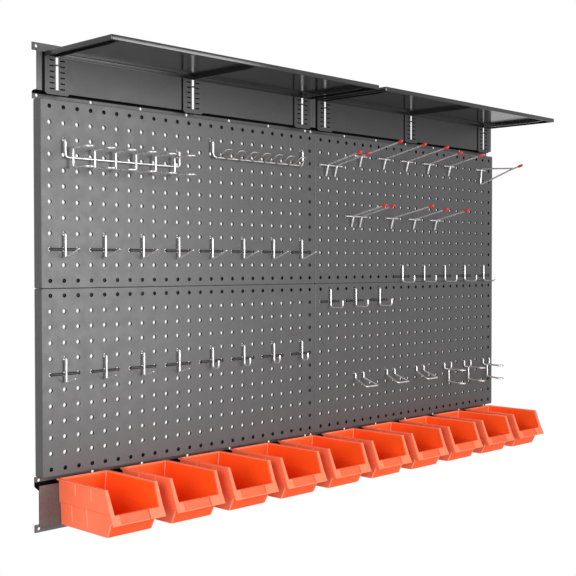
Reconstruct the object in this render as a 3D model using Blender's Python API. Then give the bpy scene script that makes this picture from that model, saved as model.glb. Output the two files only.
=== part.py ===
"""A wall-hung perforated tool board: two rows of panels between screw rails, two shelves on
slotted backs, wire hooks of nine kinds and a row of open-fronted bins on the lower rail.

World frame: metres, +Z up, the wall is the plane Y = 0 and the board faces -Y. The origin is on the
back of the top-left rail, on its upper flange's screw line, midway between the last two screw holes.
Sizes below are in millimetres and are turned into metres where the meshes are made.
"""

import math

import bmesh
import bpy
from mathutils import Matrix, Vector

MM = 0.001

# ---------------------------------------------------------------- driving dimensions (mm)
PITCH_X = 25.4  # hole spacing along a row
PITCH_Z = 24.9  # spacing between rows
COLUMNS = 24
ROWS = 12
HOLE_D = 7.0
HOLE_SIDES = 8
SIDE_MARGIN = 15.6  # panel edge to first column
TOP_MARGIN = 11.2  # panel edge to first row
BOTTOM_MARGIN = 11.8
PANEL_DEPTH = 21.0
SHEET = 1.2
LIP_HEIGHT = 22.0  # return lip along the top and bottom of a panel, against the wall

SEAM_X = 58.2  # where left and right pieces meet
RAIL_LENGTH = 617.7
RAIL_HEIGHT = 88.5
RAIL_DEPTH = 15.0
RAIL_SHEET = 1.5
FLANGE = 11.5
WEB_HEIGHT = 64.3
RAIL_TOP = 5.75
SCREW_D = 6.0
SCREW_PITCH = 100.4
SCREW_MARGIN = 7.6

SHELF_LENGTH = 597.0
POST_SPACING = 275.3
POST_WIDTH = 45.0
POST_RAISE = 2.6
BACK_TOP = -10.9
BACK_BOTTOM = -72.0
POST_BOTTOM = -75.4
SLOT_WIDTH = 5.6
SLOT_TOP = -14.7
SLOT_BOTTOM = -69.3
TRAY_TOP = -9.4
TRAY_LIP = 8.0
TRAY_FRONT = -196.0
TRAY_SHEET = 1.2
ARM_WIDTH = 6.0
ARM_BOTTOM = -20.4
TOOTH_WIDTH = 3.0
TOOTH_TOP = -28.0
TOOTH_BOTTOM = -36.0
TOOTH_DROP = 5.0

BIN_COUNT = 10
BIN_PITCH = 122.4
BIN_FIRST_X = -480.0
BIN_TOP_WIDTH = 97.0
BIN_BOTTOM_WIDTH = 83.0
BIN_HEIGHT = 74.6
BIN_DROP = 4.25  # bin top below the top of the lower rail
BIN_TOP_DEPTH = 131.5
BIN_DEPTH = 153.5
BIN_FLOOR_DEPTH = 126.5
BIN_LIP_TOP = 37.5
BIN_LIP_HEIGHT = 14.8
BIN_LIP_LEAN = 7.2  # the lip's top stands this far back from its foot
BIN_LIP_UNDER = 16.0  # how far the lip overhangs the lower front
BIN_WALL = 2.2
BIN_TONGUE_WIDTH = 60.0

WIRE_R = 1.6
LONG_WIRE_R = 2.1
WIRE_SIDES = 6
PEG_RISE = 8.0
PEG_BACK = 5.4
STAND_OFF = 4.6  # wire centre in front of the panel on the crossbar hooks
CROSSBAR_OFF = 2.0

# ---------------------------------------------------------------- clearances (mm)
GAP = 0.3  # between pieces that touch
PANEL_GAP = 0.3
RAIL_GAP = 0.6
BACK_GAP = 0.3
SLOT_PLAY = 1.2
TONGUE_PLAY = 0.35

# ---------------------------------------------------------------- derived sizes (mm)
PANEL_WIDTH = (COLUMNS - 1) * PITCH_X + 2 * SIDE_MARGIN
PANEL_HEIGHT = (ROWS - 1) * PITCH_Z + TOP_MARGIN + BOTTOM_MARGIN
RAIL_BOTTOM = RAIL_TOP - RAIL_HEIGHT
UPPER_TOP = RAIL_BOTTOM - GAP
LOWER_TOP = UPPER_TOP - PANEL_HEIGHT - PANEL_GAP
LOW_RAIL_TOP = LOWER_TOP - PANEL_HEIGHT - GAP
BIN_TOP = LOW_RAIL_TOP - BIN_DROP
PANEL_X = {
    "left": SEAM_X - PANEL_GAP / 2 - PANEL_WIDTH,
    "right": SEAM_X + PANEL_GAP / 2,
}
RAIL_X = {
    "left": SEAM_X - RAIL_GAP / 2 - RAIL_LENGTH,
    "right": SEAM_X + RAIL_GAP / 2,
}
PANEL_TOP = {"upper": UPPER_TOP, "lower": LOWER_TOP}
SHELF_X = {
    "left": PANEL_X["left"] + PANEL_WIDTH / 2,
    "right": PANEL_X["right"] + PANEL_WIDTH / 2,
}

# ---------------------------------------------------------------- colours
STEEL = ((0.115, 0.11, 0.112, 1.0), 0.45, 0.1)
CHROME = ((0.62, 0.62, 0.64, 1.0), 0.22, 1.0)
ORANGE = ((0.9, 0.1, 0.022, 1.0), 0.42, 0.0)


def clear_scene():
    """Removes whatever the scene held."""
    for obj in list(bpy.data.objects):
        bpy.data.objects.remove(obj, do_unlink=True)


def make_material(name, finish):
    """A Principled material from (colour, roughness, metallic)."""
    colour, roughness, metallic = finish
    material = bpy.data.materials.new(name)
    material.use_nodes = True
    shader = material.node_tree.nodes["Principled BSDF"]
    shader.inputs["Base Color"].default_value = colour
    shader.inputs["Roughness"].default_value = roughness
    shader.inputs["Metallic"].default_value = metallic
    return material


def object_from(name, shape, finish=None, origin=(0.0, 0.0, 0.0), smooth=False):
    """Turns a bmesh in world millimetres into an object whose origin is at origin (mm)."""
    bmesh.ops.recalc_face_normals(shape, faces=shape.faces[:])
    bmesh.ops.translate(shape, vec=-Vector(origin), verts=shape.verts[:])
    bmesh.ops.scale(shape, vec=(MM, MM, MM), verts=shape.verts[:])
    mesh = bpy.data.meshes.new(name)
    shape.to_mesh(mesh)
    shape.free()
    if smooth:
        for polygon in mesh.polygons:
            polygon.use_smooth = len(polygon.vertices) == 4
    obj = bpy.data.objects.new(name, mesh)
    obj.location = Vector(origin) * MM
    bpy.context.scene.collection.objects.link(obj)
    if finish:
        mesh.materials.append(make_material(name, finish))
    return obj


def hide_helper(obj):
    """Keeps a cutter or a joined piece out of the render."""
    obj.hide_render = True
    obj.display_type = "WIRE"
    return obj


def combine(obj, helper, operation, self_crossing=False):
    """Adds a Boolean modifier that keeps the exact solver."""
    modifier = obj.modifiers.new(helper.name, "BOOLEAN")
    modifier.operation = operation
    modifier.solver = "EXACT"
    modifier.use_self = self_crossing
    modifier.object = hide_helper(helper)


# ---------------------------------------------------------------- shapes
def add_box(shape, low, high):
    """A box between two corners."""
    centre = (Vector(low) + Vector(high)) / 2
    size = Vector(high) - Vector(low)
    matrix = Matrix.Translation(centre) @ Matrix.Diagonal((*size, 1.0))
    bmesh.ops.create_cube(shape, size=1.0, matrix=matrix)


def add_prism(shape, outline, low, high, axis="X", width_of=None):
    """An outline of two coordinates swept along axis from low to high.

    For axis X the outline is (y, z), and width_of may give the half width at each height.
    For axis Y the outline is (x, z).
    """
    rings = []
    for end in (low, high):
        ring = []
        for first, second in outline:
            if axis == "Y":
                ring.append(shape.verts.new((first, end, second)))
            elif width_of:
                middle = (low + high) / 2
                side = -1 if end == low else 1
                ring.append(shape.verts.new((middle + side * width_of(second), first, second)))
            else:
                ring.append(shape.verts.new((end, first, second)))
        rings.append(ring)
    shape.faces.new(rings[0])
    shape.faces.new(list(reversed(rings[1])))
    count = len(outline)
    for i in range(count):
        j = (i + 1) % count
        shape.faces.new((rings[0][i], rings[1][i], rings[1][j], rings[0][j]))


def add_hole_cutter(shape, x, z, diameter, front, back, sides=HOLE_SIDES):
    """A cylinder along Y for cutting one hole."""
    turn = Matrix.Rotation(math.radians(90), 4, "X")
    matrix = Matrix.Translation((x, (front + back) / 2, z)) @ turn
    bmesh.ops.create_cone(
        shape,
        cap_ends=True,
        segments=sides,
        radius1=diameter / 2,
        radius2=diameter / 2,
        depth=abs(back - front),
        matrix=matrix,
    )


def rounded(points, radius, steps=1):
    """A path whose corners are replaced by arcs, smaller where the legs are short."""
    points = [Vector(p) for p in points]
    path = [points[0]]
    for before, corner, after in zip(points, points[1:], points[2:]):
        back = before - corner
        ahead = after - corner
        half = back.angle(ahead) / 2
        reach = radius / max(math.tan(half), 1e-6)
        reach = min(reach, 0.48 * back.length, 0.48 * ahead.length)
        if half > math.radians(87):
            path.append(corner)
            continue
        start = corner + back.normalized() * reach
        end = corner + ahead.normalized() * reach
        for i in range(steps + 1):
            t = i / steps
            path.append(start.lerp(corner, t).lerp(corner.lerp(end, t), t))
    path.append(points[-1])
    return path


def add_wire(shape, path, radius, sides=WIRE_SIDES):
    """A closed tube of flat-ended wire along a path, its rings carried without twist."""
    path = [Vector(p) for p in path]
    count = len(path)
    tangents = []
    for i in range(count):
        before = path[i] - path[max(i - 1, 0)]
        after = path[min(i + 1, count - 1)] - path[i]
        tangents.append((before.normalized() + after.normalized()).normalized())
    side = tangents[0].orthogonal().normalized()
    rings = []
    for i in range(count):
        tangent = tangents[i]
        if i:
            side = tangents[i - 1].rotation_difference(tangent) @ side
        side = (side - tangent * side.dot(tangent)).normalized()
        up = tangent.cross(side)
        ring = []
        for k in range(sides):
            angle = 2 * math.pi * (k + 0.5) / sides
            offset = side * math.cos(angle) + up * math.sin(angle)
            ring.append(shape.verts.new(path[i] + offset * radius))
        rings.append(ring)
    shape.faces.new(list(reversed(rings[0])))
    shape.faces.new(rings[-1])
    for lower, upper in zip(rings, rings[1:]):
        for k in range(sides):
            m = (k + 1) % sides
            shape.faces.new((lower[k], lower[m], upper[m], upper[k]))


# ---------------------------------------------------------------- structure
def hole_x(side, column):
    """World x of a hole column on the left or right panels."""
    return PANEL_X[side] + SIDE_MARGIN + column * PITCH_X


def hole_z(level, row):
    """World z of a hole row on the upper or lower panels."""
    return PANEL_TOP[level] - TOP_MARGIN - row * PITCH_Z


def make_panel(level, side, used_holes):
    """A perforated panel: front sheet, returns on all four sides and lips at top and bottom."""
    name = f"panel_{level}_{side}"
    left = PANEL_X[side]
    right = left + PANEL_WIDTH
    top = PANEL_TOP[level]
    bottom = top - PANEL_HEIGHT
    front = -PANEL_DEPTH
    body = bmesh.new()
    add_box(body, (left, front, bottom), (right, -GAP, top))
    panel = object_from(name, body, STEEL)
    hollow = bmesh.new()
    inside = front + SHEET
    lip = -GAP - SHEET
    outline = [
        (inside, bottom + SHEET),
        (lip, bottom + SHEET),
        (lip, bottom + LIP_HEIGHT),
        (2.0, bottom + LIP_HEIGHT),
        (2.0, top - LIP_HEIGHT),
        (lip, top - LIP_HEIGHT),
        (lip, top - SHEET),
        (inside, top - SHEET),
    ]
    add_prism(hollow, outline, left + SHEET, right - SHEET)
    combine(panel, object_from(name + ".hollow", hollow), "DIFFERENCE")
    holes = bmesh.new()
    for column, row in sorted(used_holes):
        add_hole_cutter(
            holes, hole_x(side, column), hole_z(level, row), HOLE_D, front - 1.0, inside + 1.0
        )
    combine(panel, object_from(name + ".holes", holes), "DIFFERENCE")
    return panel


def hat_outline(top, grooved):
    """Section of a rail: flanges on the wall, web in front. A grooved rail's web stands up
    past its upper step, as a lip that the bins hook over."""
    bottom = top - RAIL_HEIGHT
    web_top = top - (RAIL_HEIGHT - WEB_HEIGHT) / 2
    web_bottom = web_top - WEB_HEIGHT
    front = -RAIL_DEPTH
    sheet = RAIL_SHEET
    step_top = web_top - 6.0 if grooved else web_top
    outline = [
        (0.0, top),
        (-sheet, top),
        (-sheet, step_top if grooved else top - FLANGE),
        (front + sheet, step_top),
    ]
    if grooved:
        outline += [(front + sheet, web_top), (front, web_top)]
    else:
        outline += [(front, step_top)]
    outline += [
        (front, web_bottom),
        (-sheet, bottom + FLANGE),
        (-sheet, bottom),
        (0.0, bottom),
        (0.0, bottom + FLANGE + 0.9),
        (front + sheet, web_bottom + sheet),
        (front + sheet, step_top - sheet),
        (0.0, (step_top if grooved else top - FLANGE) - sheet),
    ]
    return outline


def make_rail(name, side, top, grooved, slots):
    """A wall rail with a row of screw holes in each flange."""
    left = RAIL_X[side]
    body = bmesh.new()
    add_prism(body, hat_outline(top, grooved), left, left + RAIL_LENGTH)
    rail = object_from(name, body, STEEL)
    cutter = bmesh.new()
    for i in range(7):
        x = left + SCREW_MARGIN + i * SCREW_PITCH
        for z in (top - FLANGE / 2, top - RAIL_HEIGHT + FLANGE / 2):
            add_hole_cutter(cutter, x, z, SCREW_D, -4.0, 2.0)
    for x in slots:
        half = SLOT_WIDTH / 2 + SLOT_PLAY
        low = (x - half, -RAIL_DEPTH - 1.0, SLOT_BOTTOM)
        add_box(cutter, low, (x + half, -RAIL_DEPTH + RAIL_SHEET + 1.0, SLOT_TOP))
    combine(rail, object_from(name + ".holes", cutter), "DIFFERENCE")
    return rail


def post_positions(side):
    """World x of the three posts behind one shelf."""
    return [SHELF_X[side] + i * POST_SPACING for i in (-1, 0, 1)]


def make_shelf_back(side):
    """A pressed plate on the rail's web, with three raised posts, each with a long slot."""
    name = f"shelf_back_{side}"
    rear = -RAIL_DEPTH - BACK_GAP
    front = rear - SHEET
    half = SHELF_LENGTH / 2
    centre = SHELF_X[side]
    body = bmesh.new()
    add_box(body, (centre - half, front, BACK_BOTTOM), (centre + half, rear, BACK_TOP))
    back = object_from(name, body, STEEL)
    posts = bmesh.new()
    slots = bmesh.new()
    for x in post_positions(side):
        wide = POST_WIDTH / 2
        foot = wide - 4.0
        outline = [
            (x - wide, BACK_TOP + 0.4),
            (x + wide, BACK_TOP + 0.4),
            (x + wide, POST_BOTTOM + 4.0),
            (x + foot, POST_BOTTOM),
            (x - foot, POST_BOTTOM),
            (x - wide, POST_BOTTOM + 4.0),
        ]
        add_prism(posts, outline, rear - 0.2, rear - POST_RAISE, axis="Y")
        low = (x - SLOT_WIDTH / 2, rear - 6.0, SLOT_BOTTOM)
        add_box(slots, low, (x + SLOT_WIDTH / 2, rear + 3.0, SLOT_TOP))
    combine(back, object_from(name + ".posts", posts), "UNION")
    combine(back, object_from(name + ".slots", slots), "DIFFERENCE")
    return back


def make_shelf_tray(side):
    """An upturned shallow pan on three arms, each with a tooth that hooks through its post."""
    name = f"shelf_tray_{side}"
    rear = -RAIL_DEPTH - BACK_GAP - POST_RAISE - GAP
    half = SHELF_LENGTH / 2
    centre = SHELF_X[side]
    origin = (centre, rear, TRAY_TOP)
    body = bmesh.new()
    add_box(
        body,
        (centre - half, TRAY_FRONT, TRAY_TOP - TRAY_LIP),
        (centre + half, rear, TRAY_TOP),
    )
    tray = object_from(name, body, STEEL, origin)
    hollow = bmesh.new()
    sheet = TRAY_SHEET
    add_box(
        hollow,
        (centre - half + sheet, TRAY_FRONT + sheet, TRAY_TOP - TRAY_LIP - 2.0),
        (centre + half - sheet, rear - sheet, TRAY_TOP - sheet),
    )
    combine(tray, object_from(name + ".hollow", hollow), "DIFFERENCE")
    arms = bmesh.new()
    for x in post_positions(side):
        wide = ARM_WIDTH / 2
        add_box(
            arms,
            (x - wide, TRAY_FRONT + 3.0, ARM_BOTTOM),
            (x + wide, rear - 0.6, TRAY_TOP - 0.6),
        )
        behind = -RAIL_DEPTH + RAIL_SHEET + GAP
        thin = TOOTH_WIDTH / 2
        outline = [
            (rear - 9.0, TRAY_TOP - 3.0),
            (rear - 9.0, TOOTH_BOTTOM - 4.0),
            (rear - 0.2, TOOTH_BOTTOM - 8.0),
            (rear - 0.2, TOOTH_BOTTOM),
            (behind, TOOTH_BOTTOM),
            (behind, TOOTH_BOTTOM - TOOTH_DROP),
            (behind + 2.0, TOOTH_BOTTOM - TOOTH_DROP),
            (behind + 2.0, TOOTH_TOP),
            (rear - 0.2, TOOTH_TOP),
            (rear - 0.2, TRAY_TOP - 3.0),
        ]
        add_prism(arms, outline, x - thin, x + thin)
    combine(tray, object_from(name + ".arms", arms), "UNION", True)
    return tray


def make_bin(index):
    """An open-fronted bin: tapered walls, a low front lip and a tongue over the rail's web."""
    name = f"bin_{index + 1:02d}"
    x = BIN_FIRST_X + index * BIN_PITCH
    back = -RAIL_DEPTH - GAP
    top = BIN_TOP
    floor = top - BIN_HEIGHT
    lip_top = top - BIN_LIP_TOP
    lip_bottom = lip_top - BIN_LIP_HEIGHT
    origin = (x, back, top)
    taper = (BIN_TOP_WIDTH - BIN_BOTTOM_WIDTH) / 2 / BIN_HEIGHT

    def half_width(z):
        return BIN_TOP_WIDTH / 2 - (top - z) * taper

    outline = [
        (back, top),
        (back - BIN_TOP_DEPTH, top),
        (back - BIN_DEPTH + BIN_LIP_LEAN, lip_top),
        (back - BIN_DEPTH, lip_bottom),
        (back - BIN_DEPTH + BIN_LIP_UNDER, lip_bottom),
        (back - BIN_FLOOR_DEPTH, floor),
        (back, floor),
    ]
    body = bmesh.new()
    add_prism(body, outline, x - 1.0, x + 1.0, width_of=half_width)
    made = object_from(name, body, ORANGE, origin)
    wall = BIN_WALL
    inside = [
        (back - wall, top + 8.0),
        (back - BIN_DEPTH - 9.0, top + 8.0),
        (back - BIN_DEPTH - 9.0, lip_top),
        (back - BIN_DEPTH + BIN_LIP_LEAN + wall, lip_top),
        (back - BIN_DEPTH + BIN_LIP_UNDER + wall, lip_bottom + 1.0),
        (back - BIN_FLOOR_DEPTH + wall, floor + wall),
        (back - wall, floor + wall),
    ]
    hollow = bmesh.new()
    add_prism(hollow, inside, x - 1.0, x + 1.0, width_of=lambda z: half_width(z) - wall)
    combine(made, object_from(name + ".hollow", hollow, None, origin), "DIFFERENCE")
    web_top = LOW_RAIL_TOP - (RAIL_HEIGHT - WEB_HEIGHT) / 2
    web_back = -RAIL_DEPTH + RAIL_SHEET
    rest = web_top + TONGUE_PLAY
    tip = web_back + TONGUE_PLAY + 2.2
    tongue = bmesh.new()
    outline = [
        (back - 1.0, rest),
        (web_back + TONGUE_PLAY, rest),
        (tip, rest - 1.65),
        (tip, rest + 1.5),
        (back - 1.0, rest + 3.0),
    ]
    add_prism(tongue, outline, x - BIN_TONGUE_WIDTH / 2, x + BIN_TONGUE_WIDTH / 2)
    combine(made, object_from(name + ".tongue", tongue, None, origin), "UNION")
    return made


# ---------------------------------------------------------------- hooks
def peg_points(x, front, z=0.0):
    """The wire from behind the panel, through a hole and out to its stand-off in front."""
    return [(x, PEG_BACK, z + PEG_RISE), (x, PEG_BACK, z), (x, front, z)]


def crossbar_points():
    """A bar one row below the peg whose ends bend into the holes on either side."""
    z = -PITCH_Z
    y = -CROSSBAR_OFF
    inside = SHEET + 1.4
    return [
        (-PITCH_X, inside, z),
        (-PITCH_X, y, z),
        (PITCH_X, y, z),
        (PITCH_X, inside, z),
    ]


def straight_paths(drop, reach, tip):
    """Peg, drop and a straight prong that rises to its tip, with the crossbar."""
    front = -STAND_OFF
    main = peg_points(0.0, front) + [(0.0, front, -drop), (0.0, -reach, -tip)]
    return [(rounded(main, 3.0), WIRE_R), (rounded(crossbar_points(), 1.6), WIRE_R)]


def cup_paths(bottom_run, drop, tip):
    """Peg, drop and a round or flat-bottomed cup that ends in an upright tip."""
    front = -STAND_OFF
    far = front - bottom_run
    main = peg_points(0.0, front) + [(0.0, front, -drop), (0.0, far, -drop), (0.0, far, -tip)]
    path = rounded(main[:4], 3.0)[:-1] + rounded(main[2:], 7.0, 2)[1:]
    return [(path, WIRE_R), (rounded(crossbar_points(), 1.6), WIRE_R)]


def prong_paths(legs, span, reach, rise):
    """A standing-off crossbar with two pegs, and one or two legs whose wire runs on as a long
    rising prong. legs are the x of each leg, span the x of the two pegs."""
    bar = -0.25 * PITCH_X
    top = -9.7
    half = 7.0
    crossbar = [(span[0] - half, bar, 0.0), (span[1] + half, bar, 0.0)]
    paths = []
    for x in legs:
        leg = [(x, -2.6, -22.1), (x, top, 1.0), (x, -reach, rise)]
        paths.append((rounded(leg, 3.0), LONG_WIRE_R))
    paths.append((crossbar, WIRE_R))
    for x in span:
        paths.append((rounded(peg_points(x, bar), 1.6), WIRE_R - 0.05))
    return paths


def braced_paths():
    """A long prong held from below by a slanting brace."""
    x = PITCH_X / 2
    bar = -3.4
    half = 7.0
    low = [(x, -6.4, 1.5), (x, -3.0, -34.3), (x, -88.4, -3.8), (x, -118.4, 4.6)]
    high = [(x, -4.4, 2.6), (x, -14.0, 3.0), (x, -98.0, -1.6)]
    crossbar = [(-half, bar, 0.0), (PITCH_X + half, bar, 0.0)]
    paths = [
        (rounded(low, 3.0), LONG_WIRE_R),
        (high, LONG_WIRE_R - 0.1),
        (crossbar, WIRE_R),
    ]
    for peg in (0.0, PITCH_X):
        paths.append((rounded(peg_points(peg, bar), 1.6), WIRE_R - 0.05))
    return paths


def saddle_paths():
    """A wire from hole to hole that runs out and down as a broad cradle."""
    front = -3.4
    splay = 6.1
    main = peg_points(0.0, front)
    main += [(0.0, front, -11.9), (-splay, -38.0, -25.9)]
    main += [(PITCH_X + splay, -38.0, -25.9), (PITCH_X, front, -11.9)]
    main += list(reversed(peg_points(PITCH_X, front)))
    return [(rounded(main, 4.0, 2), WIRE_R)]


def eye_points(x, start, reach, z_start, z_end, radius):
    """A hairpin that runs out, opens into a round eye and comes back beside itself."""
    half = WIRE_R + 0.25
    centre = reach - radius
    neck = centre - radius * 1.25
    points = [(x - half, -start, z_start), (x - half, -neck, z_end)]
    for i in range(6):
        angle = math.radians(-135 + i * 54)
        points.append(
            (x + radius * math.sin(angle), -centre - radius * math.cos(angle), z_end)
        )
    points += [(x + half, -neck, z_end), (x + half, -start, z_start)]
    return points


def plier_paths():
    """Two eyed prongs, one above the other, for one pair of pliers."""
    middle = PITCH_X / 2
    front = -3.8
    eye = eye_points(middle, 9.0, 54.9, -15.0, -15.0, 8.0)
    main = peg_points(0.0, front)
    main += [(0.0, front, -13.0), (middle - WIRE_R - 0.25, -8.0, -15.0)]
    upper = rounded(main, 3.0) + eye[1:-1]
    mirror = [(PITCH_X - x, y, z) for x, y, z in rounded(main, 3.0)]
    upper += list(reversed(mirror))
    bar = [(middle, -10.0, -13.4), (middle, -10.0, -44.6)]
    lower = eye_points(middle, 7.6, 54.9, -43.0, -45.0, 8.0)
    return [(upper, WIRE_R), (bar, WIRE_R + 0.1), (lower, WIRE_R)]


def plier_rack_paths():
    """A long hanger with six pairs of eyed prongs."""
    length = 9 * PITCH_X
    front = -5.6
    main = peg_points(0.0, front) + [(0.0, front, -29.0), (length, front, -29.0)]
    main += list(reversed(peg_points(length, front)))
    paths = [(rounded(main, 6.0), WIRE_R)]
    for i in range(6):
        x = length / 2 + (i - 2.5) * 40.7
        paths.append(([(x, -8.2, -12.2), (x, -8.2, -44.9)], WIRE_R))
        for z_start, z_end in ((-13.7, -13.7), (-43.4, -45.6)):
            paths.append((eye_points(x, 6.8, 58.4, z_start, z_end, 7.0), WIRE_R))
    return paths


def tool_rail_paths():
    """A long hanger with a waved wire whose loops lean up and forward."""
    length = 9 * PITCH_X
    front = -6.35
    main = peg_points(0.0, front) + [(0.0, front, -31.0), (length, front, -31.0)]
    main += list(reversed(peg_points(length, front)))
    loops = 7
    spacing = 31.6
    start = length / 2 - loops * spacing / 2
    wave = []
    for i in range(loops * 6 + 1):
        turn = i / 6
        swing = (1 - math.cos(2 * math.pi * turn)) / 2
        sideways = 4.2 * math.sin(4 * math.pi * turn)
        wave.append(
            (start + turn * spacing + sideways, -8.2 - 20.8 * swing, -32.2 + 14.6 * swing)
        )
    return [(rounded(main, 8.0), WIRE_R), (wave, WIRE_R - 0.2)]


def make_hook(name, level, side, column, row, paths):
    """Places a hook's wires at a hole. Its origin is on the axis it tilts about."""
    place = Vector((hole_x(side, column), -PANEL_DEPTH, hole_z(level, row)))
    axis = place + Vector((0.0, SHEET / 2, 0.0))
    body = bmesh.new()
    first, radius = paths[0]
    add_wire(body, [place + Vector(p) for p in first], radius)
    hook = object_from(name, body, CHROME, axis, smooth=True)
    if len(paths) > 1:
        extra = bmesh.new()
        for path, radius in paths[1:]:
            add_wire(extra, [place + Vector(p) for p in path], radius)
        combine(hook, object_from(name + ".wires", extra, None, axis), "UNION", True)
    return hook


def hook_list():
    """Every hook as (name, level, side, column, row, holes used, wire paths)."""
    cross = [(0, 0), (-1, 1), (1, 1)]
    pair = [(0, 0), (1, 0)]
    wide = [(0, 0), (2, 0)]
    ends = [(0, 0), (9, 0)]
    one = (PITCH_X / 2,)
    two = (PITCH_X / 2, 1.5 * PITCH_X)
    near = (0.0, PITCH_X)
    far = (0.0, 2 * PITCH_X)
    hooks = []
    for i in range(8):
        hooks.append(
            (f"straight_hook_{i + 1:02d}", "upper", "left", 1 + 3 * i, 8, cross,
             straight_paths(39.1, 43.2, 23.9))
        )
    for i in range(4):
        hooks.append(
            (f"straight_hook_{i + 9:02d}", "lower", "left", 1 + 3 * i, 4, cross,
             straight_paths(39.4, 31.2, 30.2))
        )
        hooks.append(
            (f"round_cup_hook_{i + 1}", "lower", "left", 13 + 3 * i, 4, cross,
             cup_paths(15.2, 37.6, 22.1))
        )
    for i in range(3):
        hooks.append(
            (f"flat_cup_hook_{i + 1}", "lower", "right", 1 + 3 * i, 0, cross,
             cup_paths(32.2, 36.8, 21.6))
        )
        hooks.append((f"saddle_hook_{i + 1}", "lower", "right", 4 + 4 * i, 7, pair, saddle_paths()))
        hooks.append((f"plier_hook_{i + 1}", "lower", "right", 16 + 3 * i, 7, pair, plier_paths()))
    for i, (column, row, long) in enumerate(
        ((4, 1, True), (7, 1, True), (10, 1, True), (13, 1, False), (16, 1, False),
         (8, 6, True), (11, 6, False), (14, 6, False))
    ):
        reach, rise = (116.3, 23.6) if long else (96.5, 20.3)
        hooks.append(
            (f"prong_hook_{i + 1}", "upper", "right", column, row, pair,
             prong_paths(one, near, reach, rise))
        )
    hooks.append(
        ("double_prong_hook_1", "upper", "right", 0, 2, wide, prong_paths(two, far, 96.5, 20.3))
    )
    hooks.append(
        ("double_prong_hook_2", "upper", "right", 3, 6, wide, prong_paths(two, far, 96.5, 20.3))
    )
    hooks.append(("braced_hook", "upper", "right", 21, 1, pair, braced_paths()))
    hooks.append(("plier_rack", "upper", "left", 1, 2, ends, plier_rack_paths()))
    hooks.append(("tool_rail", "upper", "left", 13, 1, ends, tool_rail_paths()))
    return hooks


def main():
    clear_scene()
    hooks = hook_list()
    used = {(level, side): set() for level in ("upper", "lower") for side in ("left", "right")}
    for _, level, side, column, row, holes, _ in hooks:
        used[level, side] |= {(column + dc, row + dr) for dc, dr in holes}
    for (level, side), holes in used.items():
        make_panel(level, side, holes)
    for side in ("left", "right"):
        make_rail(f"rail_top_{side}", side, RAIL_TOP, False, post_positions(side))
        make_rail(f"rail_bottom_{side}", side, LOW_RAIL_TOP, True, [])
        make_shelf_back(side)
        make_shelf_tray(side)
    for index in range(BIN_COUNT):
        make_bin(index)
    for name, level, side, column, row, _, paths in hooks:
        make_hook(name, level, side, column, row, paths)


main()
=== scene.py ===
"""Looks of a wall-hung perforated tool board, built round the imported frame.

World frame: metres, +Z up, the wall is the plane Y = 0 and the board faces -Y. Sizes are in
millimetres and turn into metres when a mesh is made. Places come from the frame's own boxes.
"""

import logging
import math
from dataclasses import dataclass
from enum import Enum
from functools import lru_cache
from typing import ClassVar, NamedTuple

import bmesh
import bpy
import numpy as np
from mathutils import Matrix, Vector


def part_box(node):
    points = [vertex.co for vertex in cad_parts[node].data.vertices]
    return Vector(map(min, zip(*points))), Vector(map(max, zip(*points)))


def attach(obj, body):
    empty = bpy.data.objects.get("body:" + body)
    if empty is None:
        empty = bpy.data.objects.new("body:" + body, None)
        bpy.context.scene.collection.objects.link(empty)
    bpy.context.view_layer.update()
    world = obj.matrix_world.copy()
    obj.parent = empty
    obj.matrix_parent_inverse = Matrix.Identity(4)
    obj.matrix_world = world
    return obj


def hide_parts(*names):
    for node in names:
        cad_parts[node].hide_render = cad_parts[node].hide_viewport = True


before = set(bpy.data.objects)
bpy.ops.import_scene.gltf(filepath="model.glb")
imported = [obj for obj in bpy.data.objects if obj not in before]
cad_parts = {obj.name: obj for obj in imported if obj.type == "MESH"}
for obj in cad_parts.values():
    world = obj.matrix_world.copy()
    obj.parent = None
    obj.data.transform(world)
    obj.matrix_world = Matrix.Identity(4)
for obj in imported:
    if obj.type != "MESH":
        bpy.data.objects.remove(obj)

MM = 0.001
PITCH_X = 25.4
PITCH_Z = 24.9
SIDE_MARGIN = 15.6
TOP_MARGIN = 11.2
POST_SLOT = (-69.3, -14.7)  # bottom and top of the slots that a shelf hangs in
POSTS = 275.3 * np.array([-1.0, 0.0, 1.0])  # a shelf's posts, from its middle
GAP = 0.3  # between pieces that touch
SHARP = math.radians(34)
X, Y, Z = range(3)
WAYS = (-1, 1)  # left and right, or down and up
LOG = logging.getLogger("tool_board")

# Points, faces and, where a body has two finishes, how many of its last faces take the second.
Mesh = tuple[np.ndarray, list] | tuple[np.ndarray, list, int]
Socket = bpy.types.NodeSocket


class Slot(Enum):
    """The record's material slots."""

    PAINT = "grey_paint"
    WIRE = "chrome_wire"
    PLASTIC = "orange_plastic"


class Level(Enum):
    """The board's two rows of panels."""

    UPPER = "upper"
    LOWER = "lower"


class Side(Enum):
    """The board's two columns of panels."""

    LEFT = "left"
    RIGHT = "right"


# ---------------------------------------------------------------- surfaces
class Box(NamedTuple):
    """A CAD node's box at rest, in millimetres: its lowest corner, then its highest."""

    left: float
    front: float
    bottom: float
    right: float
    back: float
    top: float


@lru_cache(maxsize=None)
def node_box(node: str) -> Box:
    """The box of a CAD node."""
    return Box(*(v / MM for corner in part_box(node) for v in corner))


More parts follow.
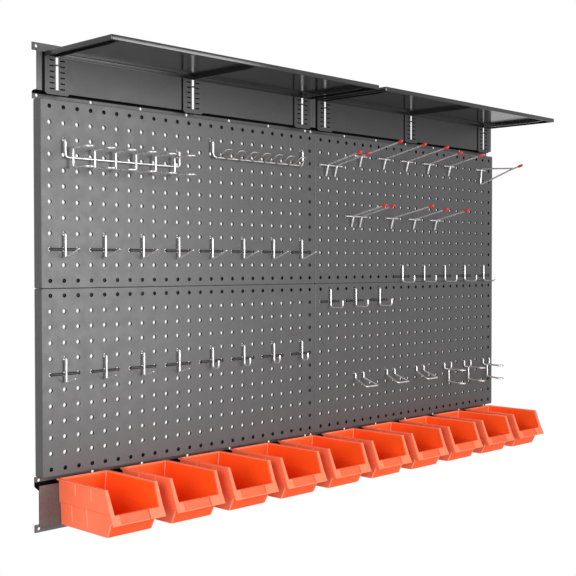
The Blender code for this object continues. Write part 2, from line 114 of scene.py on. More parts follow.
def loft(rings: np.ndarray, closed: bool = False) -> Mesh:
    """Joins each ring of points to the next by quads.

    The surface is P(u, v) = ring v's point u, with u running round the ring. An open loft
    is shut by a flat face at each end, and a closed one runs back into its first ring.

    Args:
        rings: Points as (rings, points in a ring, 3).
        closed: Whether the last ring joins the first.

    Returns:
        The points and the faces.
    """
    count, around = rings.shape[:2]
    index = np.arange(count * around).reshape(count, around)
    lower = index if closed else index[:-1]
    upper = np.roll(index, -1, axis=0) if closed else index[1:]
    quads = np.stack([lower, np.roll(lower, -1, 1), np.roll(upper, -1, 1), upper], -1)
    faces = quads.reshape(-1, 4).tolist()
    if not closed:
        faces += [index[0][::-1].tolist(), index[-1].tolist()]
    return rings.reshape(-1, 3), faces


def rounded(points: list | np.ndarray, radius: float, steps: int = 6) -> np.ndarray:
    """Replaces a path's corners by curves.

    Each curve is the parabola (1-t)^2 A + 2t(1-t) C + t^2 B, where C is the corner and A and
    B lie on its two legs, at most 0.48 of a leg away.

    Args:
        points: The path's corners, in two or three coordinates.
        radius: Bend radius.
        steps: Segments in each bend.

    Returns:
        The path with its bends.
    """
    corners = np.asarray(points, float)
    path = [corners[:1]]
    t = np.linspace(0.0, 1.0, steps + 1)[:, None]
    for before, corner, after in zip(corners, corners[1:], corners[2:]):
        back, ahead = before - corner, after - corner
        long_back, long_ahead = np.linalg.norm(back), np.linalg.norm(ahead)
        half = math.acos(np.clip(back @ ahead / (long_back * long_ahead), -1, 1)) / 2
        if half > math.radians(87):
            path.append(corner[None])
            continue
        reach = min(radius / math.tan(half), 0.48 * long_back, 0.48 * long_ahead)
        start = corner + back / long_back * reach
        end = corner + ahead / long_ahead * reach
        path.append((1 - t) ** 2 * start + 2 * t * (1 - t) * corner + t**2 * end)
    path.append(corners[-1:])
    return np.concatenate(path)


def ribbon(line: list | np.ndarray, thickness: float) -> np.ndarray:
    """Gives a flat line the thickness of sheet metal.

    The second side is the line moved by thickness along its left-hand normal, divided at a
    bend by the cosine of half the turn, so that both legs keep their thickness.

    Args:
        line: The sheet's outer face as (points, 2).
        thickness: Sheet thickness, negative to put the sheet on the right.

    Returns:
        The closed outline of the section.
    """
    line = np.asarray(line, float)
    step = np.diff(line, axis=0)
    step /= np.linalg.norm(step, axis=1, keepdims=True)
    before, after = np.vstack([step[:1], step]), np.vstack([step, step[-1:]])
    mean = before + after
    mean /= np.linalg.norm(mean, axis=1, keepdims=True)
    normal = np.stack([-mean[:, 1], mean[:, 0]], 1)
    normal /= (mean * before).sum(1, keepdims=True)
    return np.concatenate([line, (line + normal * thickness)[::-1]])


def straight(section: list | np.ndarray, axis: int, low: float, high: float) -> Mesh:
    """Carries a section straight along an axis.

    Args:
        section: Its outline, in the two other coordinates.
        axis: X, Y or Z.
        low: Where it starts.
        high: Where it ends.

    Returns:
        The closed bar.
    """
    section = np.asarray(section, float)
    return loft(np.stack([np.insert(section, axis, end, axis=1) for end in (low, high)]))


def upright(near: float, far: float, high: float, low: float) -> list[tuple]:
    """The outline of a plate seen from its side, as (y, z)."""
    return [(near, high), (near, low), (far, low), (far, high)]


def block(low: tuple, high: tuple, ease: float = 0.3) -> Mesh:
    """A rectangular bar with eased edges along Y.

    Args:
        low: Lowest corner.
        high: Highest corner.
        ease: How far the corners of its (x, z) section are cut back.

    Returns:
        The closed bar.
    """
    (x0, y0, z0), (x1, y1, z1) = low, high
    middle = ((x0 + x1) / 2, z0)
    outline = [middle, (x1, z0), (x1, z1), (x0, z1), (x0, z0), middle]
    return straight(rounded(outline, ease, 2)[:-1], Y, y0, y1)


def carry_round(section: np.ndarray, rectangle: tuple, radius: float, steps: int = 5) -> Mesh:
    """Carries a section round a rectangle with rounded corners.

    A point (out, y) of the section goes to corner + (radius + out) (cos a, sin a) while a
    runs through each corner's quarter turn, and the straight sides follow between corners.

    Args:
        section: Closed outline as (distance outside the rectangle, y).
        rectangle: Left, right, bottom and top, or for a level tray left, right, back, front.
        radius: Corner radius of the rectangle.
        steps: Segments in each corner.

    Returns:
        A closed frame whose second coordinate is the section's own.
    """
    left, right, bottom, top = rectangle
    turn = np.linspace(0, math.pi / 2, steps + 1)
    quarter = np.arange(4)[:, None] * math.pi / 2 + turn
    cx = np.array([right, left, left, right])[:, None] + np.zeros_like(quarter)
    cz = np.array([top, top, bottom, bottom])[:, None] + np.zeros_like(quarter)
    inset_x = np.array([-1, 1, 1, -1])[:, None] * radius
    inset_z = np.array([-1, -1, 1, 1])[:, None] * radius
    cx, cz, angle = (cx + inset_x).ravel(), (cz + inset_z).ravel(), quarter.ravel()
    reach = radius + section[None, :, 0]
    x = cx[:, None] + reach * np.cos(angle)[:, None]
    z = cz[:, None] + reach * np.sin(angle)[:, None]
    y = np.broadcast_to(section[None, :, 1], x.shape)
    return loft(np.stack([x, y, z], -1), closed=True)


def tube(path: np.ndarray, radius: float, sides: int = 12) -> Mesh:
    """Round wire with domed ends.

    A point is station + r (cos a side + sin a up), where side is carried from station to
    station without twist. At the ends r falls as the sine of an angle, which makes a dome.

    Args:
        path: Stations as (points, 3).
        radius: Wire radius.
        sides: Points round the wire.

    Returns:
        The closed tube.
    """
    path = np.asarray(path, float).copy()
    step = np.diff(path, axis=0)
    step /= np.linalg.norm(step, axis=1, keepdims=True)
    dome = np.radians([12.0, 38.0, 64.0])
    inset = radius * (1 - np.cos(dome))[:, None]
    start, end = path[0] + step[0] * inset, path[-1] - step[-1] * inset[::-1]
    path[0] += step[0] * radius
    path[-1] -= step[-1] * radius
    tangent = np.vstack([step[:1], step]) + np.vstack([step, step[-1:]])
    tangent /= np.linalg.norm(tangent, axis=1, keepdims=True)
    path = np.vstack([start, path, end])
    tangent = np.vstack([np.repeat(step[:1], 3, 0), tangent, np.repeat(step[-1:], 3, 0)])
    size = np.full(len(path), radius)
    size[:3], size[-3:] = radius * np.sin(dome), radius * np.sin(dome)[::-1]
    side = np.cross(tangent[0], [0.31, 0.52, 0.79])
    carried = []
    for direction in tangent:
        side = side - direction * (side @ direction)
        side = side / np.linalg.norm(side)
        carried.append(side)
    across = np.array(carried)
    up = np.cross(tangent, across)
    angle = np.arange(sides) * 2 * math.pi / sides
    spoke = np.cos(angle)[:, None] * across[:, None] + np.sin(angle)[:, None] * up[:, None]
    return loft(path[:, None] + spoke * size[:, None, None])


@dataclass(frozen=True)
class Punches:
    """Round holes that share one size: centres as (x, z), the hole's radius and the half
    width and height of the plain area kept round each."""

    centres: np.ndarray
    radius: float
    keep: tuple[float, float]


def distinct(*values: np.ndarray | tuple) -> np.ndarray:
    """The distinct numbers among several arrays, in order, to a micrometre."""
    return np.unique(np.round(np.concatenate([np.ravel(v) for v in values]), 3))


def edge_walls(quads: np.ndarray, count: int, spare: int = 0) -> np.ndarray:
    """The walls between a surface and its other side.

    Each edge that only one face uses is joined to the same edge count points later.

    Args:
        quads: The surface's faces.
        count: How many points the surface has.
        spare: How many of the first points bound an opening that a face shuts.

    Returns:
        One face for each free edge.
    """
    sides = quads[:, [0, 1, 1, 2, 2, 3, 3, 0]].reshape(-1, 2)
    _, first, times = np.unique(np.sort(sides, 1), axis=0, return_index=True, return_counts=True)
    a, b = sides[first[times == 1]].T
    walls = np.stack([b, a, a + count, b + count], 1)
    return walls[~((a < spare) & (b < spare))]


def punched_sheet(
    area: tuple, depth: tuple, punches: Punches | None = None, cuts: tuple = ()
) -> Mesh:
    """A flat sheet with round and rectangular holes.

    Round a hole the surface is (1-s) circle(a) + s rectangle(a), with sixteen steps of a.
    The rest is a grid on every line that a hole's area or a cut touches. The front is then
    repeated at the back, and each edge that only one face uses gets a wall.

    Args:
        area: Left, right, bottom and top.
        depth: The front's y and the back's y.
        punches: The round holes, or None.
        cuts: Rectangular holes, each left, right, bottom and top.

    Returns:
        The closed sheet, whose walls take a second finish.
    """
    turn = np.arange(16) * math.pi / 8
    circle = np.stack([np.cos(turn), np.sin(turn)], 1)
    square = circle / np.abs(circle).max(1, keepdims=True)
    centres = punches.centres if punches else np.zeros((0, 2))
    keep = np.array(punches.keep if punches else (0.0, 0.0))
    radius = punches.radius if punches else 0.0
    rim = centres[:, None] + radius * circle
    edge = centres[:, None] + keep * square
    holes = len(centres)
    start = np.arange(holes)[:, None] * 16
    here, there = start + np.arange(16), start + (np.arange(16) + 1) % 16
    ring = np.stack([here, there, there + holes * 16, here + holes * 16], -1).reshape(-1, 4)

    cut = np.array(cuts, float).reshape(-1, 4)
    xs = distinct(area[:2], edge[..., 0], cut[:, :2])
    zs = distinct(area[2:], edge[..., 1], cut[:, 2:])
    xm, zm = (xs[1:] + xs[:-1]) / 2, (zs[1:] + zs[:-1]) / 2
    low = np.concatenate([centres - keep, cut[:, [0, 2]]])
    high = np.concatenate([centres + keep, cut[:, [1, 3]]])
    in_x = (xm[:, None] > low[:, 0]) & (xm[:, None] < high[:, 0])
    in_z = (zm[:, None] > low[:, 1]) & (zm[:, None] < high[:, 1])
    keep_cell = ~((in_x.astype(float) @ in_z.T.astype(float)) > 0.5)
    grid = np.arange(len(xs) * len(zs)).reshape(len(xs), len(zs)) + 2 * holes * 16
    cells = np.stack([grid[:-1, :-1], grid[1:, :-1], grid[1:, 1:], grid[:-1, 1:]], -1)
    quads = np.concatenate([ring, cells[keep_cell]])

    lattice = np.stack(np.meshgrid(xs, zs, indexing="ij"), -1).reshape(-1, 2)
    flat = np.concatenate([edge.reshape(-1, 2), rim.reshape(-1, 2), lattice])
    flat, merged = np.unique(np.round(flat, 3), axis=0, return_inverse=True)
    quads = merged.reshape(-1)[quads]
    used, quads = np.unique(quads, return_inverse=True)
    flat, quads = flat[used], quads.reshape(-1, 4)

    walls = edge_walls(quads, len(flat))
    points = np.concatenate([np.insert(flat, 1, y, axis=1) for y in depth])
    faces = np.concatenate([quads, quads[:, ::-1] + len(flat), walls])
    return points, faces.tolist(), len(walls)


# ---------------------------------------------------------------- finishes
class NodeSheet:
    """A new material's node tree, with short calls to add and join its nodes."""

    def __init__(self, name: str) -> None:
        """Starts the material with its shader.

        Args:
            name: The material's name.
        """
        self.material = bpy.data.materials.new(name)
        self.material.use_nodes = True
        self.tree = self.material.node_tree
        self.shader = self.tree.nodes["Principled BSDF"]
        self.place = self.tree.nodes.new("ShaderNodeTexCoord").outputs["Object"]

    def set(self, **values: float | tuple) -> None:
        """Sets shader sockets by name, with _ for a space."""
        for name, value in values.items():
            self.shader.inputs[name.replace("_", " ")].default_value = value

    def noise(self, scale: float, detail: float = 3.0, stretch: tuple = (1, 1, 1)) -> Socket:
        """Adds a noise in the piece's own space.

        Args:
            scale: Cells in a metre.
            detail: Octaves.
            stretch: Factors on the three coordinates.

        Returns:
            The noise's value socket.
        """
        mapping = self.tree.nodes.new("ShaderNodeMapping")
        mapping.inputs["Scale"].default_value = stretch
        self.tree.links.new(self.place, mapping.inputs["Vector"])
        node = self.tree.nodes.new("ShaderNodeTexNoise")
        node.inputs["Scale"].default_value = scale
        node.inputs["Detail"].default_value = detail
        self.tree.links.new(mapping.outputs["Vector"], node.inputs["Vector"])
        return node.outputs["Fac"]

    def ramp(self, value: Socket, low: tuple, high: tuple, span: tuple = (0.35, 0.65)) -> Socket:
        """Turns a value into a colour between two colours.

        Args:
            value: The socket that drives it.
            low: Colour up to the span's start.
            high: Colour from the span's end.
            span: Where the change runs.

        Returns:
            The colour socket.
        """
        node = self.tree.nodes.new("ShaderNodeValToRGB")
        for element, at, colour in zip(node.color_ramp.elements, span, (low, high)):
            element.position = at
            element.color = (*colour, 1.0)
        self.tree.links.new(value, node.inputs["Fac"])
        return node.outputs["Color"]

    def join(self, socket: Socket, name: str) -> None:
        """Leads a socket to the shader's socket of that name."""
        self.tree.links.new(socket, self.shader.inputs[name])

    def tint(self, value: Socket, colour: tuple, shares: tuple, **span: tuple) -> None:
        """Leads a colour that varies between two shares of itself to the shader."""
        self.join(self.ramp(value, *(shade(colour, s) for s in shares), **span), "Base Color")

    def roughen(self, value: Socket, levels: tuple) -> None:
        """Leads a roughness that varies between two levels to the shader."""
        self.join(self.ramp(value, *((level,) * 3 for level in levels)), "Roughness")

    def bump(self, value: Socket, distance: float, strength: float) -> None:
        """Raises the surface by a value.

        Args:
            value: The height socket.
            distance: Height in metres at value one.
            strength: Share of it that shows.
        """
        node = self.tree.nodes.new("ShaderNodeBump")
        node.inputs["Strength"].default_value = strength
        node.inputs["Distance"].default_value = distance
        self.tree.links.new(value, node.inputs["Height"])
        self.tree.links.new(node.outputs["Normal"], self.shader.inputs["Normal"])


def shade(colour: tuple, share: float) -> tuple:
    """A colour made lighter or darker by a share."""
    return tuple(min(1.0, c * share) for c in colour)


@dataclass(frozen=True)
class PowderCoat:
    """Baked powder paint: a fine orange-peel skin with a speckle of lighter grains."""

    name: str = "powder_coat"
    colour: tuple = (0.056, 0.055, 0.057)
    roughness: tuple = (0.32, 0.42)
    shine: float = 0.5
    slot: Slot = Slot.PAINT
    grain: float = 620.0
    patch: float = 45.0
    skin: float = 900.0

    def build(self) -> bpy.types.Material:
        """Makes the material.

        Returns:
            Paint whose grains, tone and skin come from three noises.
        """
        sheet = NodeSheet(self.name)
        sheet.tint(sheet.noise(self.grain, 2.0), self.colour, (0.8, 1.28), span=(0.3, 0.7))
        sheet.roughen(sheet.noise(self.patch), self.roughness)
        sheet.bump(sheet.noise(self.skin, 2.0), 0.00025, 0.22)
        sheet.set(Specular_IOR_Level=self.shine)
        return sheet.material


@dataclass(frozen=True)
class PlatedWire:
    """Drawn steel wire: bright plating, or the dark bar that steadies a hook."""

    name: str = "bright_plating"
    colour: tuple = (0.68, 0.675, 0.68)
    roughness: tuple = (0.22, 0.34)
    metallic: float = 0.7
    slot: Slot = Slot.WIRE
    clouding: float = 160.0
    drawing: float = 1400.0

    def build(self) -> bpy.types.Material:
        """Makes the material.

        Returns:
            Metal with faint drawing marks and a little clouding.
        """
        sheet = NodeSheet(self.name)
        sheet.set(Metallic=self.metallic)
        cloud = sheet.noise(self.clouding)
        sheet.tint(cloud, self.colour, (0.88, 1.08))
        sheet.roughen(cloud, self.roughness)
        sheet.bump(sheet.noise(self.drawing, 2.0, (1.0, 0.2, 0.2)), 0.00006, 0.15)
        return sheet.material


@dataclass(frozen=True)
class MouldedPlastic:
    """Injection-moulded plastic with a fine spark-eroded grain."""

    name: str = "moulded_orange"
    colour: tuple = (0.93, 0.082, 0.012)
    roughness: tuple = (0.34, 0.44)
    slot: Slot = Slot.PLASTIC
    drift: float = 14.0
    patch: float = 60.0
    grain: float = 1300.0

    def build(self) -> bpy.types.Material:
        """Makes the material.

        Returns:
            Plastic whose tone drifts slowly and whose skin has a fine grain.
        """
        sheet = NodeSheet(self.name)
        sheet.tint(sheet.noise(self.drift, 2.0), self.colour, (0.94, 1.05))
        sheet.roughen(sheet.noise(self.patch), self.roughness)
        sheet.bump(sheet.noise(self.grain, 2.0), 0.00012, 0.12)
        sheet.set(Specular_IOR_Level=0.28)
        return sheet.material


PAINT = PowderCoat()
# The tray's paint is a much darker copy of the board's powder coat: painted shade for the tray's
# underside.
SHADED_SATIN_COAT = PowderCoat("satin_coat_painted_shade", (0.012, 0.012, 0.012), (0.1, 0.15), 0.75)
# The shelf backs take a darker copy of the powder coat: painted shade from the tray above them.
SHADED_SHELF_COAT = PowderCoat("shelf_coat_painted_shade", (0.036, 0.036, 0.037), (0.34, 0.42), 0.4)
# The bottom rails take a lighter, pinkish copy of the powder coat: painted bounce light from the
# orange bins.
BOUNCE_LIT_RAIL_COAT = PowderCoat("low_rail_painted_bounce_light", (0.12, 0.1, 0.1))
# Near black for the walls of punched holes and cuts, the steps beside the panels and the strips in
# the shelf backs: painted shade where light does not reach.
PAINTED_SHADE_BLACK = PowderCoat("painted_shade_black", (0.003, 0.003, 0.003), (0.6, 0.7), 0.05)
BRIGHT = PlatedWire()
# A near-black finish for the steady bars.
DARK_BAR = PlatedWire("dark_bar_finish", (0.01, 0.01, 0.011), (0.35, 0.45), 0.0)
# Two copies of one orange plastic: a whiter one outside, painted sheen of the lamps on the outer
# walls, and a darker, deeper one inside, painted shade within the bin.
SHEEN_LIT_ORANGE = MouldedPlastic("outer_orange_painted_sheen", (0.96, 0.17, 0.075))
SHADED_INNER_ORANGE = MouldedPlastic("inner_orange_painted_shade", (0.96, 0.09, 0.01), (0.38, 0.48))
# A slightly lighter orange for the rims and the lip: painted highlight where their edges catch the
# light.
LIT_RIM_ORANGE = MouldedPlastic("rim_orange_painted_highlight", (0.96, 0.18, 0.085))
# A darker orange for the recessed label and the line under the ledge: painted shade in the recess
# and under the ledge.
RECESS_SHADE_ORANGE = MouldedPlastic("label_orange_painted_shade", (0.95, 0.105, 0.035))
# A much lighter orange for the ribs, the corner beads and the tongue: painted highlight on the
# ribs and rounded corners.
PAINTED_HIGHLIGHT_ORANGE = MouldedPlastic("ridge_orange_painted_highlight", (0.98, 0.29, 0.18))
DULL = PlatedWire("dull_plating", (0.36, 0.35, 0.35), (0.35, 0.45))
RED_DIP = MouldedPlastic("red_dip", (0.56, 0.045, 0.05), (0.3, 0.4), Slot.WIRE)
Finish = PowderCoat | PlatedWire | MouldedPlastic


@lru_cache(maxsize=None)
def material_of(finish: Finish) -> bpy.types.Material:
    """The one material of a finish, made when it is first asked for."""
    return finish.build()


class Shell:
    """Gathers closed bodies, in millimetres, that together make one piece."""

    def __init__(self) -> None:
        """Starts empty."""
        self.points: list[np.ndarray] = []
        self.faces: list[list[int]] = []
        self.second: list[int] = []
        self.count = 0

    def add(self, *meshes: Mesh) -> "Shell":
        """Adds closed bodies.

        Args:
            meshes: Each body's points and faces.

        Returns:
            The shell itself.
        """
        for points, faces, *last in meshes:
            later = sum(last)
            self.second += [0] * (len(faces) - later) + [1] * later
            self.points.append(points)
            self.faces += [[i + self.count for i in face] for face in faces]
            self.count += len(points)
        return self

    def piece(
        self,
        name: str,
        finish: Finish,
        body: str,
        stands_for: tuple = (),
        edge: float = 0.0,
        second: Finish | None = None,
    ) -> bpy.types.Object:
        """Makes the piece and fixes it to its body.

        Args:
            name: The piece's name.
            finish: Its finish.
            body: The CAD body it moves with.
            stands_for: CAD nodes it is shown in place of.
            edge: Width of a rounded edge in millimetres, or 0.
            second: Finish of the faces marked for one, or None for the same finish.

        Returns:
            The piece, at the origin.
        """
        mesh = bpy.data.meshes.new(name)
        mesh.from_pydata((np.concatenate(self.points) * MM).tolist(), [], self.faces)
        shape = bmesh.new()
        shape.from_mesh(mesh)
        bmesh.ops.recalc_face_normals(shape, faces=shape.faces[:])
        shape.to_mesh(mesh)
        shape.free()
        mesh.polygons.foreach_set("use_smooth", np.ones(len(mesh.polygons), bool))
        mesh.set_sharp_from_angle(angle=SHARP)
        mesh.materials.append(material_of(finish))
        if second:
            mesh.materials.append(material_of(second))
            mesh.polygons.foreach_set("material_index", self.second)
        piece = bpy.data.objects.new(name, mesh)
        bpy.context.scene.collection.objects.link(piece)
        if edge:
            bevel = piece.modifiers.new("rounded_edges", "BEVEL")
            bevel.width, bevel.segments = edge * MM, 2
            bevel.limit_method, bevel.angle_limit = "ANGLE", SHARP
            bevel.harden_normals = True
        if stands_for:
            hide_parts(*stands_for)
        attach(piece, body)
        LOG.info("%s: %d faces", name, len(mesh.polygons))
        return piece


# ---------------------------------------------------------------- sheet metal
@dataclass
class PerforatedPanel:
    """One perforated panel: a punched front, bent returns and lips against the wall."""

    level: Level
    side: Side
    columns: int = 24
    rows: int = 12
    hole: float = 7.0
    sheet: float = 1.2
    hole_wall: float = 3.5
    bend: float = 2.2
    lip: float = 22.0
    lap: float = 4.0
    inset: float = 1.3

    @property
    def node(self) -> str:
        """The CAD node this panel is shown for."""
        return f"panel_{self.level.value}_{self.side.value}"

    def front(self) -> Mesh:
        """The punched front between the bends.

        Returns:
            The closed sheet.
        """
        left, front, bottom, right, _, top = node_box(self.node)
        x = left + SIDE_MARGIN + PITCH_X * np.arange(self.columns)
        z = top - TOP_MARGIN - PITCH_Z * np.arange(self.rows)
        centres = np.stack(np.meshgrid(x, z), -1).reshape(-1, 2)
        keep = (min(PITCH_X, 2 * SIDE_MARGIN) / 2, min(PITCH_Z, 2 * (TOP_MARGIN - self.bend)) / 2)
        area = (left + self.bend, right - self.bend, bottom + self.bend, top - self.bend)
        depth = (front, front + self.hole_wall)
        return punched_sheet(area, depth, Punches(centres, self.hole / 2, keep))

    def returns(self) -> Mesh:
        """The bend and the return, carried round all four sides.

        Returns:
            The closed frame.
        """
        left, front, bottom, right, back, top = node_box(self.node)
        line = rounded([(-self.bend, front), (0.0, front), (0.0, back)], self.bend)
        area = (left, right, bottom, top)
        return carry_round(ribbon(line, self.sheet), area, self.bend + 0.3)

    def lips(self) -> list[Mesh]:
        """The two lips that turn back against the wall.

        Returns:
            One bar at the top and one at the bottom.
        """
        left, _, bottom, right, back, top = node_box(self.node)
        bars = []
        for edge, way in ((top, -1), (bottom, 1)):
            line = [(back - self.lap, edge), (back, edge), (back, edge + way * self.lip)]
            section = ribbon(rounded(line, 1.5), self.sheet * way)
            bars.append(straight(section, X, left + self.inset, right - self.inset))
        return bars

    def build(self) -> None:
        """Makes the panel's one piece."""
        shell = Shell().add(self.front(), self.returns(), *self.lips())
        # The walls of the holes and of the sheet's edges take the near-black finish: painted
        # shade.
        shell.piece(self.node + "_sheet", PAINT, "wall_board", (self.node,), 0.0, PAINTED_SHADE_BLACK)


@dataclass
class WallRail:
    """A hat-section rail: two flanges with screw holes, and a web that may have slots."""

    node: str
    slots: tuple = ()
    grooved: bool = False
    sheet: float = 1.5
    flange: float = 11.5
    web: float = 64.3
    screw: float = 5.2
    screw_pitch: float = 100.4
    screw_margin: float = 7.6
    screws: int = 7
    groove: float = 6.0
    # how far the painted black shade of a step runs on down its flange
    shade: float = 3.2
    bend: float = 2.0
    lap: float = 3.0
    SLOT_REACH: ClassVar[tuple] = (-4.0, 9.5)

    def flanges(self) -> list[Mesh]:
        """The flanges' flat strips with their screw holes.

        Returns:
            The lower and the upper strip.
        """
        left, _, bottom, right, back, top = node_box(self.node)
        x = left + self.screw_margin + self.screw_pitch * np.arange(self.screws)
        keep = (self.flange / 2 - 0.4, self.flange / 2 - 0.4)
        depth = (back - self.sheet, back)
        strips = []
        for low in (bottom, top - self.flange):
            centres = np.column_stack([x, np.full(self.screws, low + self.flange / 2)])
            area = (left, right, low, low + self.flange)
            strips.append(punched_sheet(area, depth, Punches(centres, self.screw / 2, keep)))
        return strips

    def web_sheet(self) -> Mesh:
        """The web's flat face with the shelf's slots.

        Returns:
            The closed sheet.
        """
        left, front, bottom, right, _, top = node_box(self.node)
        middle = (bottom + top) / 2
        area = (left, right, middle - self.web / 2, middle + self.web / 2)
        low, high = self.SLOT_REACH
        cuts = tuple((x + low, x + high, *POST_SLOT) for x in self.slots)
        return punched_sheet(area, (front, front + self.sheet), None, cuts)

    def risers(self) -> list[Mesh]:
        """The bent steps between the web and the flanges.

        The step beside a panel stands in its own shade, so it takes the second finish: near
        black, as painted shade, which runs on down the flange for the length shade gives.

        Returns:
            The lower and the upper step.
        """
        left, front, bottom, right, back, top = node_box(self.node)
        middle = (bottom + top) / 2
        bars = []
        for edge, way in ((bottom, -1), (top, 1)):
            web = middle + way * self.web / 2
            wall = edge - way * self.flange
            if self.grooved and way > 0:
                web, wall = web - self.groove, edge - self.flange - self.groove / 2
            shaded = self.grooved == (way > 0)
            end = edge - way * (self.flange - (self.shade if shaded else 0.6))
            foot = back - self.sheet - (0.25 if shaded else 0.0)
            line = [(front + 0.01, web - way * self.lap), (front + 0.01, web)]
            line += [(foot, wall), (foot, end)]
            if self.grooved and way > 0:
                line = line[1:]
                line[0] = (front + self.sheet - 0.2, web)
            section = ribbon(rounded(line, self.bend), -way * self.sheet)
            points, faces = straight(section, X, left, right)
            bars.append((points, faces, len(faces) if shaded else 0))
        return bars

    def build(self) -> None:
        """Makes the rail's one piece."""
        shell = Shell().add(self.web_sheet(), *self.flanges(), *self.risers())
        # Bottom rails take the lighter, pinkish coat: painted bounce light from the bins.
        coat = BOUNCE_LIT_RAIL_COAT if self.grooved else PAINT
        # The walls of the screw holes and slots, and the step beside a panel, take the near-black
        # finish: painted shade.
        shell.piece(self.node + "_strip", coat, "wall_board", (self.node,), 0.0, PAINTED_SHADE_BLACK)


@dataclass
class ShelfBack:
    """The pressed back of one shelf: three raised posts with a slot and ticks, and two plates
    between them that stop short of the post on their right; a black strip in each seam is painted
    shade."""

    side: Side
    post: float = 45.0
    slot: float = 5.6
    sheet: float = 1.2
    seam: float = 2.8
    tick: tuple = (8.6, 2.3)
    tick_gap: float = 2.4
    tick_pitch: float = 8.9
    tick_start: float = 7.0
    ticks: int = 6
    foot: float = 3.4
    taper: float = 4.0

    @property
    def node(self) -> str:
        """The CAD node this back is shown for."""
        return f"shelf_back_{self.side.value}"

    def posts(self) -> np.ndarray:
        """The posts' middles along X."""
        box = node_box(self.node)
        return (box.left + box.right) / 2 + POSTS

    def tick_cuts(self, x: float) -> list[tuple]:
        """The ticks on both sides of one post's slot.

        Args:
            x: The post's middle.

        Returns:
            Rectangles as left, right, bottom and top.
        """
        long, tall = self.tick
        near = self.slot / 2 + self.tick_gap
        heights = POST_SLOT[1] - self.tick_start - self.tick_pitch * np.arange(self.ticks)
        return [
            (x + low, x + low + long, z - tall / 2, z + tall / 2)
            for z in heights
            for low in (-near - long, near)
        ]

    def post_face(self, x: float) -> list[Mesh]:
        """One post: its slotted face, the bend on its right and its tapered foot.

        Args:
            x: The post's middle.

        Returns:
            The closed bodies.
        """
        _, front, bottom, _, rear, top = node_box(self.node)
        half, low = self.post / 2, bottom + self.foot
        start, end = x - half, x + half
        slot = (x - self.slot / 2, x + self.slot / 2, *POST_SLOT)
        depth = (front, front + self.sheet)
        face = punched_sheet((start, end, low, top), depth, None, (slot, *self.tick_cuts(x)))
        outline = [(start, low), (start + self.taper, bottom)]
        outline += [(end - self.taper, bottom), (end, low)]
        wall = block((end - self.sheet, front + GAP, low), (end, rear, top))
        return [face, straight(outline, Y, *depth), wall]

    def painted_shade_strips(self) -> list[Mesh]:
        """The black strips that fill each post's open left side and back its ticks: painted shade
        in the seams and behind the ticks.

        Returns:
            The closed strips.
        """
        _, front, bottom, _, rear, top = node_box(self.node)
        made = []
        for x in self.posts():
            edge = x - self.post / 2
            low = (edge - self.seam, rear - self.sheet, bottom + self.foot)
            made.append(block(low, (edge + 0.2, rear, top), 0.2))
            near, far = self.slot / 2 + 1.2, self.slot / 2 + self.tick_gap + self.tick[0] + 1.0
            for start, end in ((-far, -near), (near, far)):
                low = (x + start, front + self.sheet, POST_SLOT[0])
                made.append(block(low, (x + end, front + self.sheet + 0.5, POST_SLOT[1]), 0.1))
        return made

    def plates(self) -> list[Mesh]:
        """The two plates between the posts, each with a bead along its top.

        Returns:
            The closed bodies.
        """
        _, _, bottom, _, rear, top = node_box(self.node)
        posts = self.posts()
        low = bottom + self.foot
        made = []
        for x0, x1 in zip(posts + self.post / 2, posts[1:] - self.post / 2 - self.seam):
            made.append(block((x0 - 0.4, rear - self.sheet, low), (x1, rear, top), 0.5))
            near, far = rear - 1.1, rear - 2.0
            bead = [(near, top - 7.4), (far, top - 7.8), (far, top - 0.2), (near, top)]
            made.append(straight(rounded(bead, 0.5, 3), X, x0, x1 - 1.0))
        return made

    def build(self) -> None:
        """Makes the back's one piece."""
        posts = [part for x in self.posts() for part in self.post_face(x)]
        shell = Shell().add(*posts, *self.plates())
        # The pressing takes the darker coat, painted shade under the tray; the walls of its slots
        # and ticks take the near-black finish, also painted shade.
        shell.piece(self.node + "_pressing", SHADED_SHELF_COAT, "wall_board", (self.node,), 0.0, PAINTED_SHADE_BLACK)
        # Black strips in the seams and behind the ticks: painted shade.
        strips = Shell().add(*self.painted_shade_strips())
        strips.piece(self.node + "_gaskets", PAINTED_SHADE_BLACK, "wall_board")


